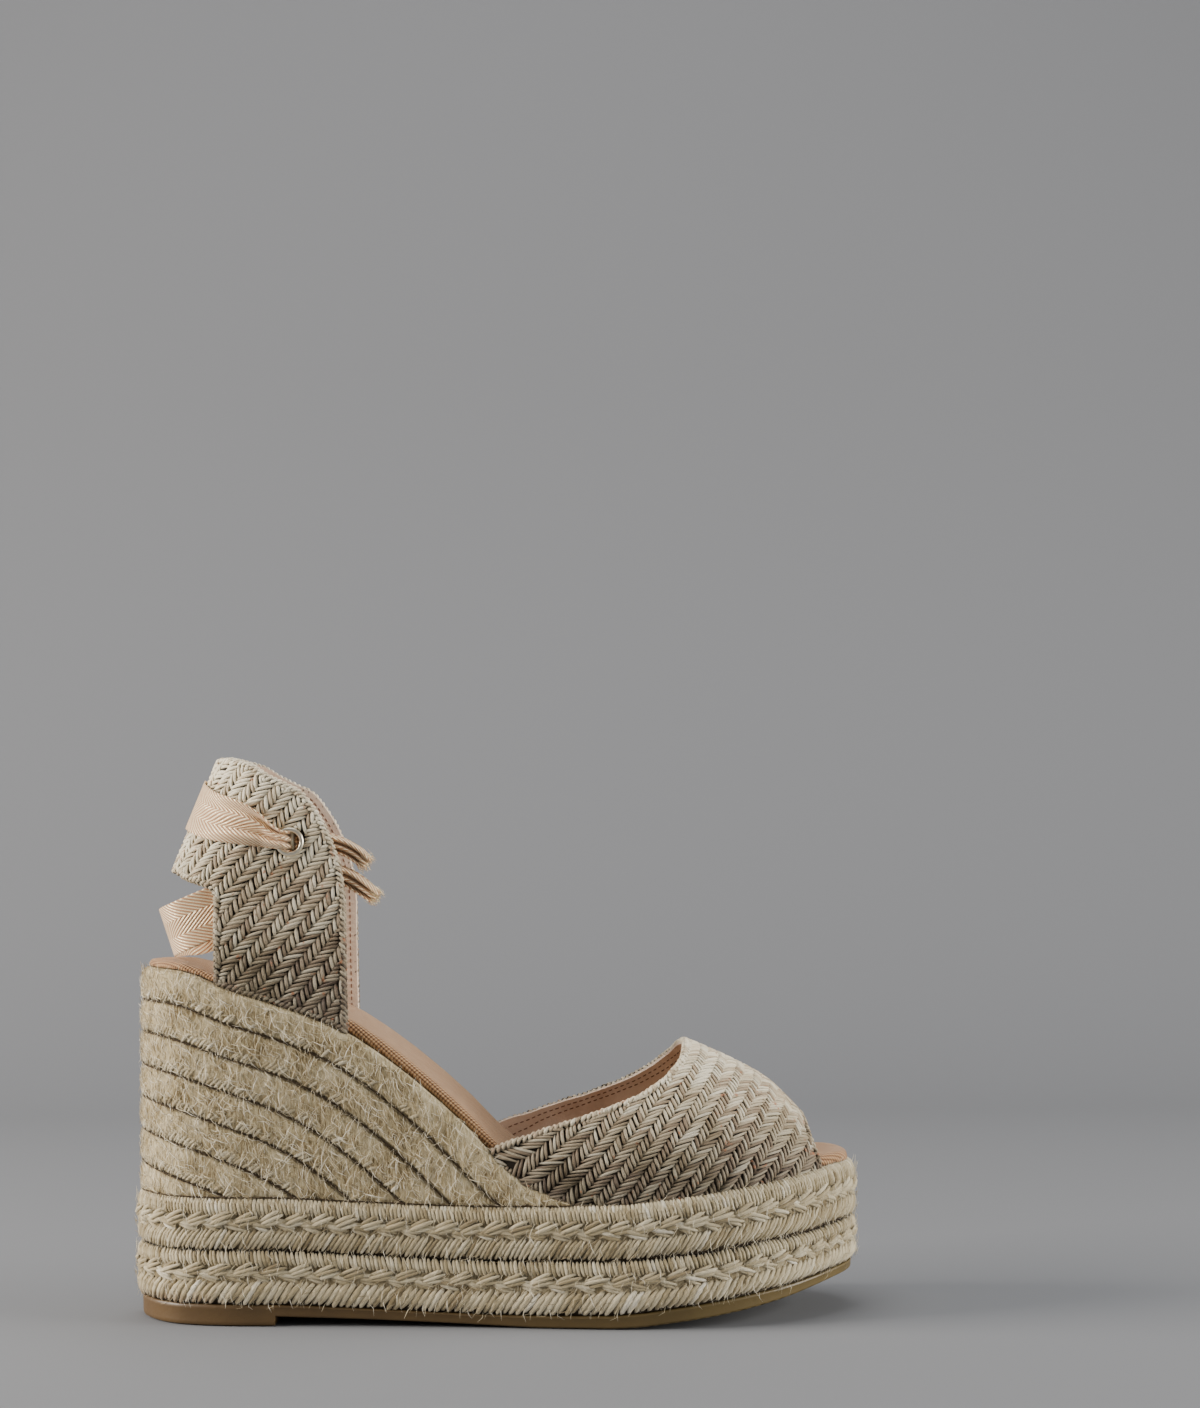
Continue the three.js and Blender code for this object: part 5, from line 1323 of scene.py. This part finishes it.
def quarterPieces(look):
    points, faces, sorts = [], [], []
    bed, stitches = newBed(), newBed()
    lean = math.tan(math.radians(upper["quarterLean"]))
    half = upper["quarterStrip"] / 2
    zs = quarterBaseZ + quarterRise * np.linspace(0.002, 1, 110)
    topZ = zs[-1]

    # Height share that sets the raffia's painted light and shade
    def liftOf(z):
        return (z - quarterBaseZ - 8) / 70

    for sign in (-1, 1):
        rear = np.array([rearWay(z, sign) for z in zs])
        front = np.array([frontWay(z, sign) for z in zs])
        way = sign * (rear[:, None] + (front - rear)[:, None] * np.linspace(0, 1, 48))
        z = np.broadcast_to(zs[:, None], way.shape)
        form, normal = quarterTable(way, z), normalsOf(quarterTable, way, z, 0.4, 0.4, -1)
        more, newFaces, newSorts = shellForm(form - normal * 0.35, form - normal * upper["wall"], rear > 0)
        centre = quarterTable(sign * wayAt(eyeletX, eyeletZ, sign), eyeletZ)
        for face, sort in zip(newFaces, newSorts):
            middle = np.mean([more[n] for n in face], axis=0) - centre
            if math.hypot(middle[0], middle[2]) > 3.8 or abs(middle[1]) > 6:
                faces.append(tuple(n + len(points) for n in (face if sign < 0 else face[::-1])))
                sorts.append(sort)
        points += more
        eyelet = wayAt(eyeletX, eyeletZ, sign)

        def inside(way, z, sign=sign, rear=rear, front=front, eyelet=eyelet):
            way = way * sign
            rears, fronts = np.interp(z, zs, rear), np.interp(z, zs, front)
            free = (way > np.where(rears > 0, rears + look["edge"], -0.3)) & (way < fronts - look["edge"])
            return free & (z < topZ - look["edge"]) & (z > zs[0] - 0.5) & (np.hypot(way - eyelet, z - eyeletZ) > 3.7)

        for k in range(0, 46):
            fine = np.linspace(zs[0] - 6, topZ + 6, 300)
            line = -quarterRise / lean + (k + 0.5) * half + (fine - quarterBaseZ) / lean
            if line[-1] < -4 or line[0] > front.max() + 4:
                continue
            spine = quarterTable(sign * line, fine)
            spacing = np.full(len(fine), math.sin(math.radians(upper["quarterLean"])) * half)
            layWeave(bed, quarterTable, (sign * line, fine), spine, spacing, look, k % 2, inside, -1, liftOf)
        over = np.linspace(front[-1], 0, 24)[1:]
        edges = (np.concatenate((front, over)), np.concatenate((zs, np.full(len(over), topZ)))), (rear[rear > 0], zs[rear > 0])
        for part, (edgeWay, edgeZ) in enumerate(edges):
            line = quarterTable(sign * edgeWay, edgeZ)
            faceOut = normalsOf(quarterTable, sign * edgeWay, edgeZ, 0.4, 0.4, -1)
            ahead = unit(np.gradient(line, axis=0))
            push = unit(np.cross(faceOut, ahead)) * sign * (1 if part == 0 else -1)
            layEdge(bed, line, faceOut, push, look, liftOf)
            if part == 0:
                for inward in (2.0, 4.4):
                    row = line - push * inward - faceOut * (upper["wall"] + 0.05)
                    layStitches(stitches, row, -faceOut)
    ground = woven("quarterGround", points, faces, sorts, [finish["under"], finish["lining"]])
    finished(ground, "woven_raffia", "heel_quarter")
    finished(strandPiece("quarterWeave", bed, "raffia", finish["raffia"], 0.1, 0.1, 31), "woven_raffia")
    finished(strandPiece("quarterStitches", stitches, "stitch", finish["thread"], 0.05, 0.03, 8), "upper_lining")


quarterPieces(weave["quarter"])
print("quarter made")

# Eyelets: rolled metal through each ankle panel
eyeletForm = {"bore": 3.15, "flange": 4.6, "rim": 0.65, "proud": 0.95, "around": 48}


def eyeletPiece(node, sign, look):
    profile = [(look["bore"], -2.6), (look["bore"], look["proud"])]
    middle, half = (look["bore"] + look["flange"]) / 2, (look["flange"] - look["bore"]) / 2
    profile += [(middle - half * math.cos(a), look["proud"] + look["rim"] * math.sin(a)) for a in np.linspace(0.3, math.pi, 9)]
    profile += [(look["flange"], 0.25), (look["bore"] + 0.35, 0.25), (look["bore"] + 0.35, -2.3), (look["flange"] - 0.2, -2.35),
                (look["flange"] - 0.3, -2.7)]
    way = sign * wayAt(eyeletX, eyeletZ, sign)
    centre = np.array(quarterPoint(way, eyeletZ))
    axis = normalsOf(quarterTable, np.array([way]), np.array([eyeletZ]), 0.4, 0.4, -1)[0]
    first = unit(np.cross(axis, (0, 0, 1)))
    second = np.cross(axis, first)
    points, count = [], look["around"]
    for radius, height in profile:
        for k in range(count):
            angle = 2 * math.pi * k / count
            points.append(centre + axis * height + (first * math.cos(angle) + second * math.sin(angle)) * radius)
    faces = gridFaces(len(profile), count, closed=True)
    last = (len(profile) - 1) * count
    faces += [(last + k, last + (k + 1) % count, (k + 1) % count, k) for k in range(count)]
    piece = meshPiece(node.replace("_", "") + "Ring", inMetres(points), faces, finishes=[finish["plate"]])
    form = bmesh.new()
    form.from_mesh(piece.data)
    bmesh.ops.recalc_face_normals(form, faces=form.faces)
    form.to_mesh(piece.data)
    form.free()
    piece.data.set_sharp_from_angle(angle=math.radians(50))
    finished(piece, "eyelet_metal", node)


eyeletPiece("eyelet_lateral", -1, eyeletForm)
eyeletPiece("eyelet_medial", 1, eyeletForm)
print("eyelets made")


def ribbonBand():
    halves = []
    for sign in (-1, 1):
        end = wayAt(eyeletX, eyeletZ, sign)
        rows = []
        for along in np.linspace(0, 1, 70) ** 1.15:
            z = eyeletZ + bandForm["rise"] * flow(bandForm, "up", along, "along")
            way = np.array([sign * (end * (1 - along) + 1.5 * max(0, 1 - along / 0.04))])
            facing = normalsOf(quarterTable, way, np.array([z]), 0.4, 0.4, -1)[0]
            onward = unit(quarterTable(way + 0.5, np.array([z])) - quarterTable(way - 0.5, np.array([z])))[0]
            lift = 0.45 + flow(bandForm, "out", along, "along")
            centre = quarterTable(way, np.array([z]))[0] + facing * lift
            rows.append((centre, np.cross(facing, onward), facing, 16 * flow(bandForm, "width", along, "along")))
        halves.append(rows)
    rows = halves[0] + halves[1][-2::-1]
    piece = tapePiece("ribbonBand", *(np.array([row[k] for row in rows]) for k in range(4)))
    finished(piece, "twill_ribbon", "ribbon_band")


ribbonBand()
print("ribbon band made")


# Pale studio sweep and soft lights
studio = {"floor": "#74767a", "wall": 1.1, "bend": 0.5, "width": 8.0}


def makeSweep(look):
    profile = [(-3.0, 0.0)] + [
        (look["wall"] - look["bend"] + look["bend"] * math.sin(a), look["bend"] * (1 - math.cos(a)))
        for a in np.linspace(0, math.pi / 2, 24)] + [(look["wall"], 3.0)]
    points = [(side * look["width"] / 2, y, z - 0.0002) for y, z in profile for side in (-1, 1)]
    material, tree, shader = newMaterial("paintedSweep", Roughness=0.85)
    shader.inputs["Base Color"].default_value = colourOf(look["floor"])
    faces = [(2 * i, 2 * i + 1, 2 * i + 3, 2 * i + 2) for i in range(len(profile) - 1)]
    meshPiece("studioSweep", points, faces, finishes=[material])


def softLight(name, place, aim, size, power, colour="#ffffff"):
    light = bpy.data.lights.new(name, "AREA")
    light.shape = "RECTANGLE"
    light.size, light.size_y = size
    light.energy = power
    light.color = colourOf(colour)[:3]
    lamp = bpy.data.objects.new(name, light)
    lamp.matrix_world = Matrix.Translation(place) @ (Vector(aim) - Vector(place)).to_track_quat("-Z", "Y").to_matrix().to_4x4()
    bpy.context.collection.objects.link(lamp)


makeSweep(studio)
softLight("heelLight", (-1.35, -0.2, 0.55), (-0.03, 0, 0.07), (0.7, 0.7), 44, "#fff7ec")
softLight("toeLight", (1.35, -0.3, 0.4), (0.04, 0, 0.05), (0.8, 0.8), 30, "#fbf7f0")
softLight("topLight", (-0.1, 0.1, 1.4), (0, 0, 0.05), (1.2, 0.9), 12)
world = bpy.data.worlds.new("studioAir")
world.use_nodes = True
world.node_tree.nodes["Background"].inputs["Color"].default_value = colourOf("#c9cbd0")
world.node_tree.nodes["Background"].inputs["Strength"].default_value = 0.36
bpy.context.scene.world = world

for group in shapes.values():
    for shape in list(group.objects):
        bpy.data.objects.remove(shape)
    bpy.data.collections.remove(group)
print("studio made")
